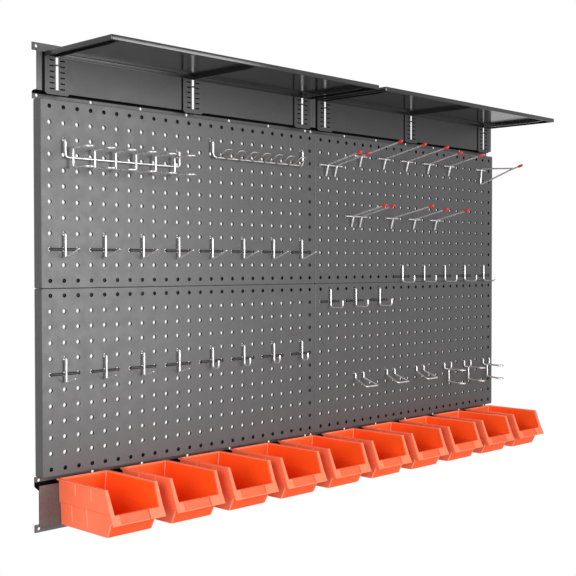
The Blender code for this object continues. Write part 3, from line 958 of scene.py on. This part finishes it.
@dataclass
class ShelfTray:
    """An upturned pan with rolled lips, on three arms whose teeth hook through the posts."""

    side: Side
    sheet: float = 1.2
    lip: float = 8.0
    corner: float = 2.4
    bend: float = 1.4
    hem: float = 3.2
    arm: float = 4.0
    tooth: float = 1.0
    tooth_at: float = 2.6
    inset: float = 5.0
    TOOTH: ClassVar[tuple] = (-28.0, -36.0)
    HANG: ClassVar[float] = 5.0
    ARM_BOTTOM: ClassVar[float] = -16.4
    WEB_BACK: ClassVar[float] = -13.2

    @property
    def node(self) -> str:
        """The CAD node this tray is shown for."""
        return f"shelf_tray_{self.side.value}"

    def pan(self) -> list[Mesh]:
        """The top sheet and the lip with its hem, carried round the pan.

        Returns:
            The closed bodies, built lying down so that their second coordinate is height.
        """
        left, front, _, right, _, top = node_box(self.node)
        rear = self.rear()
        line = [(-6.0, top), (0.0, top), (0.0, top - self.lip)]
        line += [(-self.hem, top - self.lip), (-self.hem, top - self.lip + 0.9)]
        section = ribbon(rounded(line, self.bend, 4), -self.sheet * 0.7)
        points, faces = carry_round(section, (left, right, front, rear), self.corner)
        lip = points[:, [X, Z, Y]], faces
        x0, x1, y0, y1 = np.add((left, right, front, rear), np.array([1, -1, 1, -1]) * self.inset)
        flat = [(x0, y0), (x1, y0), (x1, y1), (x0, y1)]
        return [lip, straight(flat, Z, top - self.sheet * 0.7, top)]

    def rear(self) -> float:
        """The back edge of the pan, in front of the posts."""
        return node_box(f"shelf_back_{self.side.value}").front - GAP

    def arms(self) -> list[Mesh]:
        """The arms and their teeth.

        A tooth is a blade down the slot's right side, a bridge through it and a hook behind.

        Returns:
            The closed bodies.
        """
        left, front, _, right, _, top = node_box(self.node)
        rear, half, under = self.rear(), self.arm / 2, self.ARM_BOTTOM
        high, low = self.TOOTH
        face, back, end = rear + GAP, self.WEB_BACK, self.WEB_BACK + 2.0
        arm = [(front + 3.4, top - 1.0), (front + 3.4, top - 4.0), (front + 40.0, under)]
        arm += [(rear - 0.6, under), (rear - 0.6, top - 1.0)]
        blade = upright(rear - 1.8, face - 0.2, top - 4.0, high - 2.0)
        bridge = upright(rear - 1.8, face + 2.0, high, high - 2.0)
        hook = [(face + 1.4, high), (face + 1.4, low), (back, low)]
        hook += [(back, low - self.HANG), (end, low - self.HANG), (end, high)]
        side, reach = self.tooth_at - self.tooth, self.tooth_at
        spans = ((arm, -half, half), (blade, side, reach), (bridge, 0.1 - reach, reach - 0.1))
        spans += ((hook, -reach, -side),)
        middles = (left + right) / 2 + POSTS
        return [straight(line, X, x + a, x + b) for x in middles for line, a, b in spans]

    def build(self) -> None:
        """Makes the tray's one piece."""
        shell = Shell().add(*self.pan(), *self.arms())
        # The pan takes the darker coat: painted shade on its underside.
        shell.piece(self.node + "_pan", SHADED_SATIN_COAT, self.node, (self.node,))


# ---------------------------------------------------------------- bins
@dataclass
class Bin:
    """An open-fronted bin of moulded plastic, hung on the rail by a tongue."""

    number: int
    rim_half: float = 49.0
    top_half: float = 46.2
    ledge_half: float = 45.2
    step_half: float = 43.3
    floor_half: float = 41.7
    height: float = 74.6
    lip_top: float = 37.5
    lip_height: float = 14.8
    wall: float = 2.2
    corner: float = 3.0
    flange: float = 2.5
    tongue: float = 60.0
    label: tuple = (-34.0, 20.0)
    notch: float = 1.5
    TOP_DEPTH: ClassVar[float] = 131.5
    LIP_TOP_DEPTH: ClassVar[float] = 146.3
    LIP_DEPTH: ClassVar[float] = 153.5
    UNDER_LIP: ClassVar[float] = 137.5
    FLOOR_DEPTH: ClassVar[float] = 126.5
    LIP_SHEET: ClassVar[float] = 2.6
    RIBS: ClassVar[tuple] = (
        (48.5, 2.9, 21.5),
        (91.3, 2.9, 23.0),
        (34.2, 38.0, 64.0),
        (75.7, 38.0, 67.0),
    )
    RAIL: ClassVar[str] = "rail_bottom_left"
    RAIL_WEB: ClassVar[float] = 64.3
    RAIL_SHEET: ClassVar[float] = 1.5
    PLAY: ClassVar[float] = 0.35

    @property
    def node(self) -> str:
        """The CAD node this bin is shown for."""
        return f"bin_{self.number:02d}"

    @property
    def under(self) -> float:
        """Distance of the lip's lower edge below the top."""
        return self.lip_top + self.lip_height

    @property
    def slope(self) -> float:
        """How far the lip's face comes forward for each millimetre down."""
        return (self.LIP_DEPTH - self.LIP_TOP_DEPTH) / self.lip_height

    def place(self) -> tuple[float, float, float]:
        """The middle of the back's top edge."""
        box, rail = node_box(self.node), node_box(self.RAIL)
        return (box.left + box.right) / 2, rail.front - GAP, box.bottom + self.height

    def half_width(self, down: np.ndarray) -> np.ndarray:
        """Half the outer width at a distance below the top, with a ledge at the lip's top.

        Args:
            down: Distances below the top.

        Returns:
            Half widths.
        """
        ends = [0.0, self.lip_top - 0.005, self.lip_top + 0.005, self.height]
        halves = [self.top_half, self.ledge_half, self.step_half, self.floor_half]
        return np.interp(down, ends, halves)

    def plan(
        self, half: np.ndarray, back: np.ndarray, front: np.ndarray, radius: float
    ) -> np.ndarray:
        """The rounded rectangle of each level, seen from above.

        A corner is its centre + radius (cos a, sin a). The order is front left, back left,
        back right, front right, so the last side is the front.

        Args:
            half: Half widths of the levels.
            back: Distances of the back from the rail.
            front: Distances of the front from the rail.
            radius: Corner radius.

        Returns:
            Points as (levels, points, 2), x and distance from the rail.
        """
        steps = 5
        turn = np.linspace(0, math.pi / 2, steps)
        angle = np.concatenate([math.pi / 2 + turn, math.pi + turn, 1.5 * math.pi + turn, turn])
        side = np.repeat([-1.0, -1.0, 1.0, 1.0], steps)
        at_front = np.repeat([1.0, 0.0, 0.0, 1.0], steps)
        cx = side * (half[:, None] - radius)
        centre = np.where(at_front, front[:, None] - radius, back[:, None] + radius)
        return np.stack([cx + radius * np.cos(angle), centre + radius * np.sin(angle)], -1)

    def tub(self) -> Mesh:
        """The tub: floor, tapered walls and the low front.

        A point is P(u, v) = plan of level v at u. The front and its corners stop at the lip's
        top. The inner side repeats the levels one wall further in, and the free edges between
        the two sides are walled. The inner side and the low front take the second finish, a
        darker, deeper orange that is painted shade inside the bin and under the lip.

        Returns:
            The closed tub.
        """
        x, back, top = self.place()
        wall, lip = self.wall, self.LIP_TOP_DEPTH - self.LIP_SHEET
        down = np.array([self.height, self.height - 1.0, self.under + 0.01, self.under,
                         self.lip_top + 0.01, self.lip_top - 0.01, 24.0, 12.0, 0.6])
        front = np.array([self.FLOOR_DEPTH - 1.0, self.FLOOR_DEPTH, self.UNDER_LIP,
                          self.LIP_DEPTH - self.LIP_SHEET, lip, lip, 0, 0, 0])
        front[6:] = np.interp(down[6:], [0.0, self.lip_top], [self.TOP_DEPTH - 1.2, lip])
        half = self.half_width(down)
        half[0] -= 0.9
        low = np.zeros(9)
        low[0] = 0.9
        outer = self.plan(half, low, front, self.corner)
        inner_front = front - wall
        inner_front[3] = self.UNDER_LIP - 0.5
        inner_half = half - wall
        inner_half[0] += 0.9
        inner = self.plan(inner_half, np.full(9, wall), inner_front, self.corner - wall + 0.6)
        inner_down = down.copy()
        inner_down[:2] -= wall
        inner_down[1] = inner_down[0] - 1.0
        levels, around = outer.shape[:2]
        heights = [np.repeat(d[:, None], around, 1) for d in (down, inner_down)]
        points = np.concatenate([
            np.stack([x + p[..., 0], back - p[..., 1], top - d], -1).reshape(-1, 3)
            for p, d in zip((outer, inner), heights)
        ])
        grid = np.arange(levels * around).reshape(levels, around)
        nxt = np.roll(grid, -1, 1)
        quads = np.stack([grid[:-1], nxt[:-1], nxt[1:], grid[1:]], -1)
        open_front = np.zeros((levels - 1, around), bool)
        front_cells = np.r_[0:4, around - 5 : around]
        open_front[4:, front_cells] = True
        low_front = np.zeros_like(open_front)
        low_front[:3, -1] = True
        face, quads = quads[low_front], quads[~open_front & ~low_front]
        both = np.concatenate([quads, face])
        count = levels * around
        walls = edge_walls(both, count, around)
        faces = [grid[0][::-1].tolist(), *np.concatenate([quads, walls]).tolist()]
        inside = [*face.tolist(), *(both[:, ::-1] + count).tolist(), (grid[0] + count).tolist()]
        return points, faces + inside, len(inside)

    def rims(self) -> list[Mesh]:
        """The flanges along each side's top and slanted edge, and the back's thick edge.

        Returns:
            The closed bodies.
        """
        x, back, top = self.place()
        line = [(0.0, 0.0), (self.TOP_DEPTH, 0.0), (self.LIP_TOP_DEPTH - 0.2, self.lip_top),
                (self.LIP_DEPTH - 0.2 - self.slope, self.under - 1.0)]
        outline = ribbon(np.array(line), self.flange) * (-1, -1) + (back, top)
        made = []
        for way in WAYS:
            inside = self.half_width(top - outline[:, 1]) - self.wall - 0.15
            rings = [
                np.column_stack([x + way * reach, outline])
                for reach in (inside, np.full(len(outline), self.rim_half))
            ]
            made.append(loft(np.stack(rings)))
        half = self.top_half
        low = (x - half, back - self.LIP_SHEET, top - 3.4)
        made.append(block(low, (x + half, back, top), 0.4))
        return made

    def lip_parts(self) -> list[Mesh]:
        """The front lip: a plate with raised ends, a bead below the label and a notch. The
        recessed label and the strip along its top take the darker orange, painted shade in the
        recess.

        Returns:
            The closed bodies.
        """
        x, back, top = self.place()

        def band(low: float, high: float, out: float, start: float, end: float) -> Mesh:
            """A strip of the lip.

            Args:
                low: Left end from the middle.
                high: Right end from the middle.
                out: How far its face stands out of the lip's plane.
                start: Its top edge below the lip's top.
                end: Its bottom edge below the lip's top.

            Returns:
                The closed strip.
            """
            down = np.array([start, end, end, start])
            depth = self.LIP_TOP_DEPTH + self.slope * down + np.array([out, out, -2.7, -2.7])
            section = np.column_stack([back - depth, top - self.lip_top - down])
            return straight(section, X, x + low, x + high)

        (left, right), half, tall = self.label, self.rim_half + 0.4, self.lip_height
        label = band(left - 0.5, right, -1.3, 0.0, tall)
        edge = band(left - 0.5, right, -0.7, 0.0, 1.3)
        return [
            band(-half, left, 0.0, 0.0, tall),
            band(right + self.notch, half, 0.0, 0.0, tall),
            band(left - 0.5, right, -0.25, tall - 1.9, tall),
            (*label, len(label[1])),
            (*edge, len(edge[1])),
        ]

    def ribs(self) -> list[Mesh]:
        """Upright ribs on both sides, two above and two below the ledge, and the ledge's line. The
        ribs take the light orange, painted highlight; the ledge's line the darker, painted shade.

        Returns:
            The closed bodies.
        """
        x, back, top = self.place()
        made = []
        for depth, start, end in self.RIBS:
            for way in WAYS:
                down = np.array([start, start, end, end])
                y = back - depth + np.array([-1.2, 1.2, 1.2, -1.2])
                outline = np.column_stack([y, top - down])
                rings = [
                    np.column_stack([x + way * (self.half_width(down) + d), outline])
                    for d in (-0.5, 0.7)
                ]
                made.append(loft(np.stack(rings)))
        # The ledge's line takes the darker orange: a painted shade line under the ledge.
        for way in WAYS:
            reach, ledge = x + way * (self.step_half - 0.5), top - self.lip_top
            low, high = sorted((reach, reach + way * 1.1))
            points, faces = block((low, back - self.UNDER_LIP + 1.0, ledge - 1.2),
                                  (high, back - 1.0, ledge + 0.1), 0.1)
            made.append((points, faces, len(faces)))
        return made

    def corner_beads(self) -> list[Mesh]:
        """Light beads in the two inner back corners and down the two lower front corners: painted
        highlight on the rounded corners.

        Returns:
            The closed bodies, each a thin bar along its corner.
        """
        x, back, top = self.place()
        made = []
        for way in WAYS:
            down = np.array([1.0, self.height - self.wall - 1.0])
            inner = x + way * (self.half_width(down) - self.wall - 0.5)
            made.append(np.column_stack([inner, np.full(2, back - self.wall - 0.5), top - down]))
            down = np.array([self.under - 0.5, self.height - 0.8])
            outer = x + way * (self.half_width(down) - 1.0)
            depth = np.array([self.UNDER_LIP, self.FLOOR_DEPTH]) - 1.0
            made.append(np.column_stack([outer, back - depth, top - down]))
        return [tube(path, 1.1, 8) for path in made]

    def tongue_bar(self) -> Mesh:
        """The tongue over the rail's web, with its hooked tip.

        Returns:
            The closed bar.
        """
        x, back, _ = self.place()
        rail = node_box(self.RAIL)
        rest = (rail.bottom + rail.top + self.RAIL_WEB) / 2 + self.PLAY
        inner = rail.front + self.RAIL_SHEET + self.PLAY
        tip = inner + self.wall
        outline = [(back - 1.0, rest), (inner, rest), (tip, rest - 1.65), (tip, rest + 1.5),
                   (back - 1.0, rest + 3.0)]
        return straight(outline, X, x - self.tongue / 2, x + self.tongue / 2)

    def build(self) -> None:
        """Makes the bin's tub and its trim."""
        tub = Shell().add(self.tub())
        # Outside in the whiter orange, painted sheen; inside and the low front in the darker
        # orange, painted shade.
        tub.piece(self.node + "_tub", SHEEN_LIT_ORANGE, self.node, (self.node,), 0.0, SHADED_INNER_ORANGE)
        trim = Shell().add(*self.rims(), *self.lip_parts())
        # Rims and lip in the lighter orange, painted highlight; the label recess in the darker
        # orange, painted shade.
        trim.piece(self.node + "_rim", LIT_RIM_ORANGE, self.node, (), 0.45, RECESS_SHADE_ORANGE)
        extra = Shell().add(self.tongue_bar(), *self.ribs(), *self.corner_beads())
        # Tongue, ribs and corner beads in the light orange, painted highlight; the ledge's line in
        # the darker orange, painted shade.
        extra.piece(self.node + "_ribs", PAINTED_HIGHLIGHT_ORANGE, self.node, (), 0.2, RECESS_SHADE_ORANGE)


# ---------------------------------------------------------------- hooks
Wire = tuple[np.ndarray, float, Finish]
WIRE = 1.6  # radius of most wires
PEG = 1.55
PEG_BACK = 5.4  # how far a wire goes in behind the panel's front
PEG_RISE = 8.0
STAND_OFF = 4.6
BAR_OVER = 7.0  # how far a bar runs past its pegs


def peg(x: float, front: float) -> list[tuple]:
    """The wire from behind the panel, through a hole and out in front of it."""
    return [(x, PEG_BACK, PEG_RISE), (x, PEG_BACK, 0.0), (x, front, 0.0)]


def pegs(span: float, front: float) -> list[Wire]:
    """Two pegs, a span apart, for a bar."""
    return [(rounded(peg(x, front), WIRE), PEG, BRIGHT) for x in (0.0, span)]


def crossbar(span: float, front: float) -> Wire:
    """The straight bar over two pegs."""
    ends = (-BAR_OVER, span / 2, span + BAR_OVER)
    return np.array([(x, front, 0.0) for x in ends]), WIRE, BRIGHT


def swept_back(points: list | np.ndarray, middle: float) -> np.ndarray:
    """The same path mirrored about x = middle and run the other way."""
    return (np.asarray(points, float) * (-1, 1, 1) + (2 * middle, 0, 0))[::-1]


def steady_bar() -> Wire:
    """The dark bar one row below the peg, its ends in the holes on either side."""
    path = [(-PITCH_X, 2.6), (-PITCH_X, -2.0), (PITCH_X, -2.0), (PITCH_X, 2.6)]
    return rounded([(x, y, -PITCH_Z) for x, y in path], WIRE), 2.1, DARK_BAR


def eye(x: float, start: float, reach: float, z: tuple, radius: float) -> np.ndarray:
    """A hairpin that runs out, opens into a round eye and comes back beside itself.

    The eye is centre + radius (sin a, -cos a) for a from -135 to 135 degrees.

    Args:
        x: The hairpin's middle.
        start: Distance of its ends from the panel.
        reach: Distance of the eye's far side.
        z: Height of the ends and of the eye.
        radius: The eye's radius.

    Returns:
        The path.
    """
    half, centre = 1.85, reach - radius
    neck = centre - radius * 1.25
    a = np.radians(np.linspace(-135, 135, 19))
    across, out = radius * np.sin(a), radius * np.cos(a)
    arc = np.column_stack([x + across, -centre - out, np.full(19, z[1])])
    legs = np.array([(x - half, -start, z[0]), (x - half, -neck, z[1])])
    return np.vstack([legs, arc, swept_back(legs, x)])


def dip(path: np.ndarray, length: float, radius: float) -> Wire:
    """The red plastic cap over a wire's last stretch.

    Args:
        path: The wire's path.
        length: How much of it is dipped.
        radius: The cap's radius.

    Returns:
        The cap as a short, thicker wire.
    """
    tip, before = path[-1], path[-2]
    way = (tip - before) / np.linalg.norm(tip - before)
    return np.array([tip - way * length, tip - way * length / 2, tip + way * 1.4]), radius, RED_DIP


@dataclass
class Hook:
    """A wire hook that hangs in the panel's holes. Its paths start at its first hole."""

    name: str
    level: Level
    side: Side
    column: int
    row: int
    spare: bool = False

    def place(self) -> np.ndarray:
        """The middle of the first hole, on the panel's front face.

        Returns:
            The point, in millimetres.
        """
        box = node_box(f"panel_{self.level.value}_{self.side.value}")
        x = box.left + SIDE_MARGIN + self.column * PITCH_X
        return np.array([x, box.front, box.top - TOP_MARGIN - self.row * PITCH_Z])

    def wires(self) -> list[Wire]:
        """Every wire of the hook: its path, radius and finish."""
        raise NotImplementedError

    def build(self) -> None:
        """Makes one piece for each finish among the wires."""
        shells: dict[Finish, Shell] = {}
        for path, radius, finish in self.wires():
            shells.setdefault(finish, Shell()).add(tube(path + self.place(), radius))
        body = "wall_board" if self.spare else self.name
        for finish, shell in shells.items():
            nodes = (self.name,) if finish is BRIGHT and not self.spare else ()
            shell.piece(f"{self.name}_{finish.name}", finish, body, nodes)


@dataclass
class StraightHook(Hook):
    """Peg, drop and a straight prong that rises to its tip."""

    drop: float = 39.1
    reach: float = 43.2
    tip: float = 23.9

    def wires(self) -> list[Wire]:
        """The bent wire and its steady bar.

        Returns:
            The two wires.
        """
        path = peg(0.0, -STAND_OFF) + [(0.0, -STAND_OFF, -self.drop)]
        path += [(0.0, -self.reach, -self.tip)]
        return [(rounded(path, 3.0), 1.45, BRIGHT), steady_bar()]


@dataclass
class CupHook(Hook):
    """Peg, drop and a round or flat-bottomed cup with an upright tip."""

    run: float = 15.2
    drop: float = 37.6
    tip: float = 22.1

    def wires(self) -> list[Wire]:
        """The bent wire and its steady bar.

        Returns:
            The two wires.
        """
        far = -STAND_OFF - self.run
        path = peg(0.0, -STAND_OFF) + [(0.0, -STAND_OFF, -self.drop)]
        path += [(0.0, far, -self.drop), (0.0, far, -self.tip)]
        bend = rounded(path[:4], 3.0)[:-1], rounded(path[2:], 7.0, 9)[1:]
        return [(np.concatenate(bend), 1.5, BRIGHT), steady_bar()]


@dataclass
class ProngHook(Hook):
    """A bar on two pegs with one or two legs that run out as long dipped prongs."""

    legs: tuple = (0.5,)
    span: float = 1.0
    reach: float = 116.3
    rise: float = 23.6

    def wires(self) -> list[Wire]:
        """The legs, their dips, the bar and its pegs.

        Returns:
            The wires.
        """
        bar, end = -0.25 * PITCH_X, self.span * PITCH_X
        made = [crossbar(end, bar)]
        for leg in self.legs:
            x = leg * PITCH_X
            path = rounded([(x, -2.6, -22.1), (x, -9.7, 1.0), (x, -self.reach, self.rise)], 3.0)
            made += [(path, 1.8, BRIGHT), dip(path, 12.0, 3.1)]
        return made + pegs(end, bar)


@dataclass
class BracedHook(Hook):
    """A long dipped prong held from below by a slanting brace."""

    def wires(self) -> list[Wire]:
        """The brace and prong, the dip, the bar and its pegs.

        Returns:
            The wires.
        """
        x, bar = PITCH_X / 2, -3.4
        low = rounded([(x, -6.4, 1.5), (x, -3.0, -34.3), (x, -88.4, -3.8), (x, -118.4, 4.6)], 3.0)
        high = rounded([(x, -4.4, 2.6), (x, -14.0, 3.0), (x, -98.0, -1.6)], 3.0)
        made = [(low, 1.8, BRIGHT), dip(low, 12.0, 3.1), (high, 1.7, BRIGHT)]
        return made + [crossbar(PITCH_X, bar), *pegs(PITCH_X, bar)]


@dataclass
class SaddleHook(Hook):
    """A wire from hole to hole that runs out and down as a broad cradle."""

    def wires(self) -> list[Wire]:
        """The one bent wire.

        Returns:
            The wire.
        """
        half = peg(0.0, -3.4) + [(0.0, -3.4, -11.9), (-6.1, -38.0, -25.9)]
        path = np.vstack([half, swept_back(half, PITCH_X / 2)])
        return [(rounded(path, 4.0, 8), WIRE, BRIGHT)]


@dataclass
class PlierHook(Hook):
    """Two eyed prongs, one above the other, on a bar."""

    reach: float = 50.5

    def wires(self) -> list[Wire]:
        """The upper eye with its pegs, the bar and the lower eye.

        Returns:
            The three wires.
        """
        middle = PITCH_X / 2
        half = rounded(peg(0.0, -3.8) + [(0.0, -3.8, -13.0), (middle - 1.85, -6.0, -15.0)], 3.0)
        upper = np.vstack([half, eye(middle, 8.0, self.reach, (-15.0, -15.0), 8.0)[1:-1],
                           swept_back(half, middle)])
        bar = np.array([(middle, -6.6, -13.4), (middle, -6.6, -29.0), (middle, -6.6, -44.6)])
        lower = eye(middle, 5.0, self.reach, (-43.0, -45.0), 8.0)
        return [(upper, WIRE, BRIGHT), (bar, 1.7, BRIGHT), (lower, WIRE, BRIGHT)]


@dataclass
class PlierRack(Hook):
    """A long hanger with pairs of eyed prongs."""

    stations: int = 6
    spacing: float = 40.7
    length: float = 9 * PITCH_X

    def wires(self) -> list[Wire]:
        """The hanger and, at each station, a bar with two eyes.

        Returns:
            The wires.
        """
        half = peg(0.0, -5.6) + [(0.0, -5.6, -29.0)]
        path = np.vstack([half, swept_back(half, self.length / 2)])
        made = [(rounded(path, 6.0, 8), WIRE, BRIGHT)]
        for i in range(self.stations):
            x = self.length / 2 + (i - (self.stations - 1) / 2) * self.spacing
            bar = np.array([(x, -8.2, z) for z in (-12.2, -28.0, -44.9)])
            made.append((bar, WIRE, BRIGHT))
            for z in ((-13.7, -13.7), (-43.4, -45.6)):
                made.append((eye(x, 6.8, 58.4, z, 7.0), WIRE, BRIGHT))
        return made


@dataclass
class ToolRail(Hook):
    """A long hanger with a waved wire whose loops lean up and forward."""

    loops: int = 7
    spacing: float = 31.6
    length: float = 9 * PITCH_X

    def wires(self) -> list[Wire]:
        """The hanger and the waved wire.

        The wave swings out as (1 - c (3 - c c) / 2) / 2 with c the cosine of its turn, and x
        runs on with a share of the sine of twice the turn.

        Returns:
            The two wires.
        """
        half = peg(0.0, -6.35) + [(0.0, -6.35, -31.0)]
        path = np.vstack([half, swept_back(half, self.length / 2)])
        turn = np.linspace(0.0, self.loops, self.loops * 18 + 1)
        beat = np.cos(2 * math.pi * turn)
        swing = (1 - beat * (1.5 - 0.5 * beat**2)) / 2
        start = (self.length - self.loops * self.spacing) / 2
        x = start + turn * self.spacing + self.spacing / (4 * math.pi) * np.sin(4 * math.pi * turn)
        wave = np.column_stack([x, -8.2 - 20.8 * swing, -32.2 + 14.6 * swing])
        return [(rounded(path, 8.0, 8), WIRE, BRIGHT), (wave, 1.15, DULL)]


def all_hooks() -> list[Hook]:
    """Every hook at its holes.

    Returns:
        The hooks of all nine kinds, and the spare flat cups that ride on the board.
    """
    upper, lower, left, right = Level.UPPER, Level.LOWER, Side.LEFT, Side.RIGHT
    hooks: list[Hook] = []
    for i in range(8):
        hooks.append(StraightHook(f"straight_hook_{i + 1:02d}", upper, left, 1 + 3 * i, 8))
    for i in range(4):
        low = {"drop": 39.4, "reach": 31.2, "tip": 30.2}
        hooks.append(StraightHook(f"straight_hook_{i + 9:02d}", lower, left, 1 + 3 * i, 4, **low))
        hooks.append(CupHook(f"round_cup_hook_{i + 1}", lower, left, 13 + 3 * i, 4))
    flat = {"run": 32.2, "drop": 36.8, "tip": 21.6}
    for i in range(3):
        hooks.append(CupHook(f"flat_cup_hook_{i + 1}", lower, right, 1 + 3 * i, 0, **flat))
        hooks.append(SaddleHook(f"saddle_hook_{i + 1}", lower, right, 4 + 4 * i, 7))
        hooks.append(PlierHook(f"plier_hook_{i + 1}", lower, right, 16 + 3 * i, 7))
    for i in range(5):
        place = (upper, right, 10 + 3 * i, 10, True)
        hooks.append(CupHook(f"spare_cup_hook_{i + 1}", *place, **flat))
    short = {"reach": 96.5, "rise": 20.3}
    for i, column in enumerate((4, 7, 10, 13, 16)):
        size = {} if i < 3 else short
        hooks.append(ProngHook(f"prong_hook_{i + 1}", upper, right, column, 1, **size))
    for i, column in enumerate((8, 11, 14)):
        size = {} if i < 1 else short
        hooks.append(ProngHook(f"prong_hook_{i + 6}", upper, right, column, 6, **size))
    double = {"legs": (0.5, 1.5), "span": 2.0, **short}
    hooks.append(ProngHook("double_prong_hook_1", upper, right, 0, 2, **double))
    hooks.append(ProngHook("double_prong_hook_2", upper, right, 3, 6, **double))
    hooks.append(BracedHook("braced_hook", upper, right, 21, 1))
    hooks.append(PlierRack("plier_rack", upper, left, 1, 2))
    hooks.append(ToolRail("tool_rail", upper, left, 13, 1))
    return hooks


# ---------------------------------------------------------------- studio
@dataclass
class Studio:
    """White surroundings, a pale floor well below the board, soft lights and the camera."""

    seen: float = 1.0
    fill: float = 0.42
    gloss: float = 0.7
    floor_z: float = -2.2
    floor_half: float = 1.6
    lens: float = 65.778
    shift_x: float = -0.0678
    eye: tuple = (-1.4484, -1.4663, -0.3431)
    pitch: float = 88.747
    heading: float = -46.836

    def surroundings(self) -> None:
        """Makes the white world and the floor."""
        scene = bpy.context.scene
        scene.view_settings.view_transform = "Standard"
        scene.world = bpy.data.worlds.new("white_room")
        scene.world.use_nodes = True
        background = scene.world.node_tree.nodes["Background"]
        background.inputs["Color"].default_value = (1.0, 1.0, 1.0, 1.0)
        tree = scene.world.node_tree
        path = tree.nodes.new("ShaderNodeLightPath")
        total = self.seen
        for ray, level in (("Is Diffuse Ray", self.fill), ("Is Glossy Ray", self.gloss)):
            step = tree.nodes.new("ShaderNodeMath")
            step.operation = "MULTIPLY_ADD"
            tree.links.new(path.outputs[ray], step.inputs[0])
            step.inputs[1].default_value = level - self.seen
            if isinstance(total, float):
                step.inputs[2].default_value = total
            else:
                tree.links.new(total, step.inputs[2])
            total = step.outputs["Value"]
        tree.links.new(total, background.inputs["Strength"])
        half, z = self.floor_half, self.floor_z
        mesh = bpy.data.meshes.new("floor")
        corners = [(-half, -half, z), (half, -half, z), (half, half, z), (-half, half, z)]
        mesh.from_pydata(corners, [], [(0, 1, 2, 3)])
        sheet = NodeSheet("pale_floor")
        sheet.join(sheet.ramp(sheet.noise(3.0), (0.8, 0.8, 0.8), (0.84, 0.84, 0.84)), "Base Color")
        sheet.set(Roughness=0.7)
        mesh.materials.append(sheet.material)
        floor = bpy.data.objects.new("floor", mesh)
        scene.collection.objects.link(floor)

    def lamp(self, name: str, place: tuple, aim: tuple, size: float, power: float) -> None:
        """Adds one soft lamp.

        Args:
            name: The lamp's name.
            place: Where it stands, in metres.
            aim: The point it faces.
            size: Side of its square face in metres.
            power: Watts.
        """
        data = bpy.data.lights.new(name, "AREA")
        data.size, data.energy = size, power
        lamp = bpy.data.objects.new(name, data)
        lamp.location = place
        lamp.rotation_euler = (Vector(aim) - Vector(place)).to_track_quat("-Z", "Y").to_euler()
        bpy.context.scene.collection.objects.link(lamp)

    def camera(self) -> None:
        """Adds the camera, low on the board's left."""
        data = bpy.data.cameras.new("camera")
        data.lens, data.sensor_width, data.shift_x = self.lens, 36.0, self.shift_x
        data.clip_start, data.clip_end = 0.05, 50.0
        camera = bpy.data.objects.new("camera", data)
        camera.location = self.eye
        camera.rotation_euler = (math.radians(self.pitch), 0.0, math.radians(self.heading))
        bpy.context.scene.collection.objects.link(camera)
        bpy.context.scene.camera = camera

    def build(self) -> None:
        """Sets up the room, its lamps and the camera."""
        self.surroundings()
        self.lamp("front_softbox", (0.2, -1.6, -0.3), (-0.45, 0.0, -0.4), 1.2, 27.0)
        self.lamp("left_softbox", (-2.2, -1.1, -0.1), (-0.2, 0.0, -0.5), 1.2, 40.0)
        self.camera()


def main() -> None:
    """Builds every sub-assembly in order, then the studio."""
    logging.basicConfig(level=logging.INFO, format="%(message)s")
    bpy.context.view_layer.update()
    for level in Level:
        for side in Side:
            PerforatedPanel(level, side).build()
    for side in Side:
        back = ShelfBack(side)
        slots = tuple(float(x) for x in back.posts())
        WallRail(f"rail_top_{side.value}", slots).build()
        WallRail(f"rail_bottom_{side.value}", grooved=True).build()
        back.build()
        ShelfTray(side).build()
    for number in range(1, 11):
        Bin(number).build()
    for hook in all_hooks():
        hook.build()
    Studio().build()


if __name__ == "__main__":
    main()
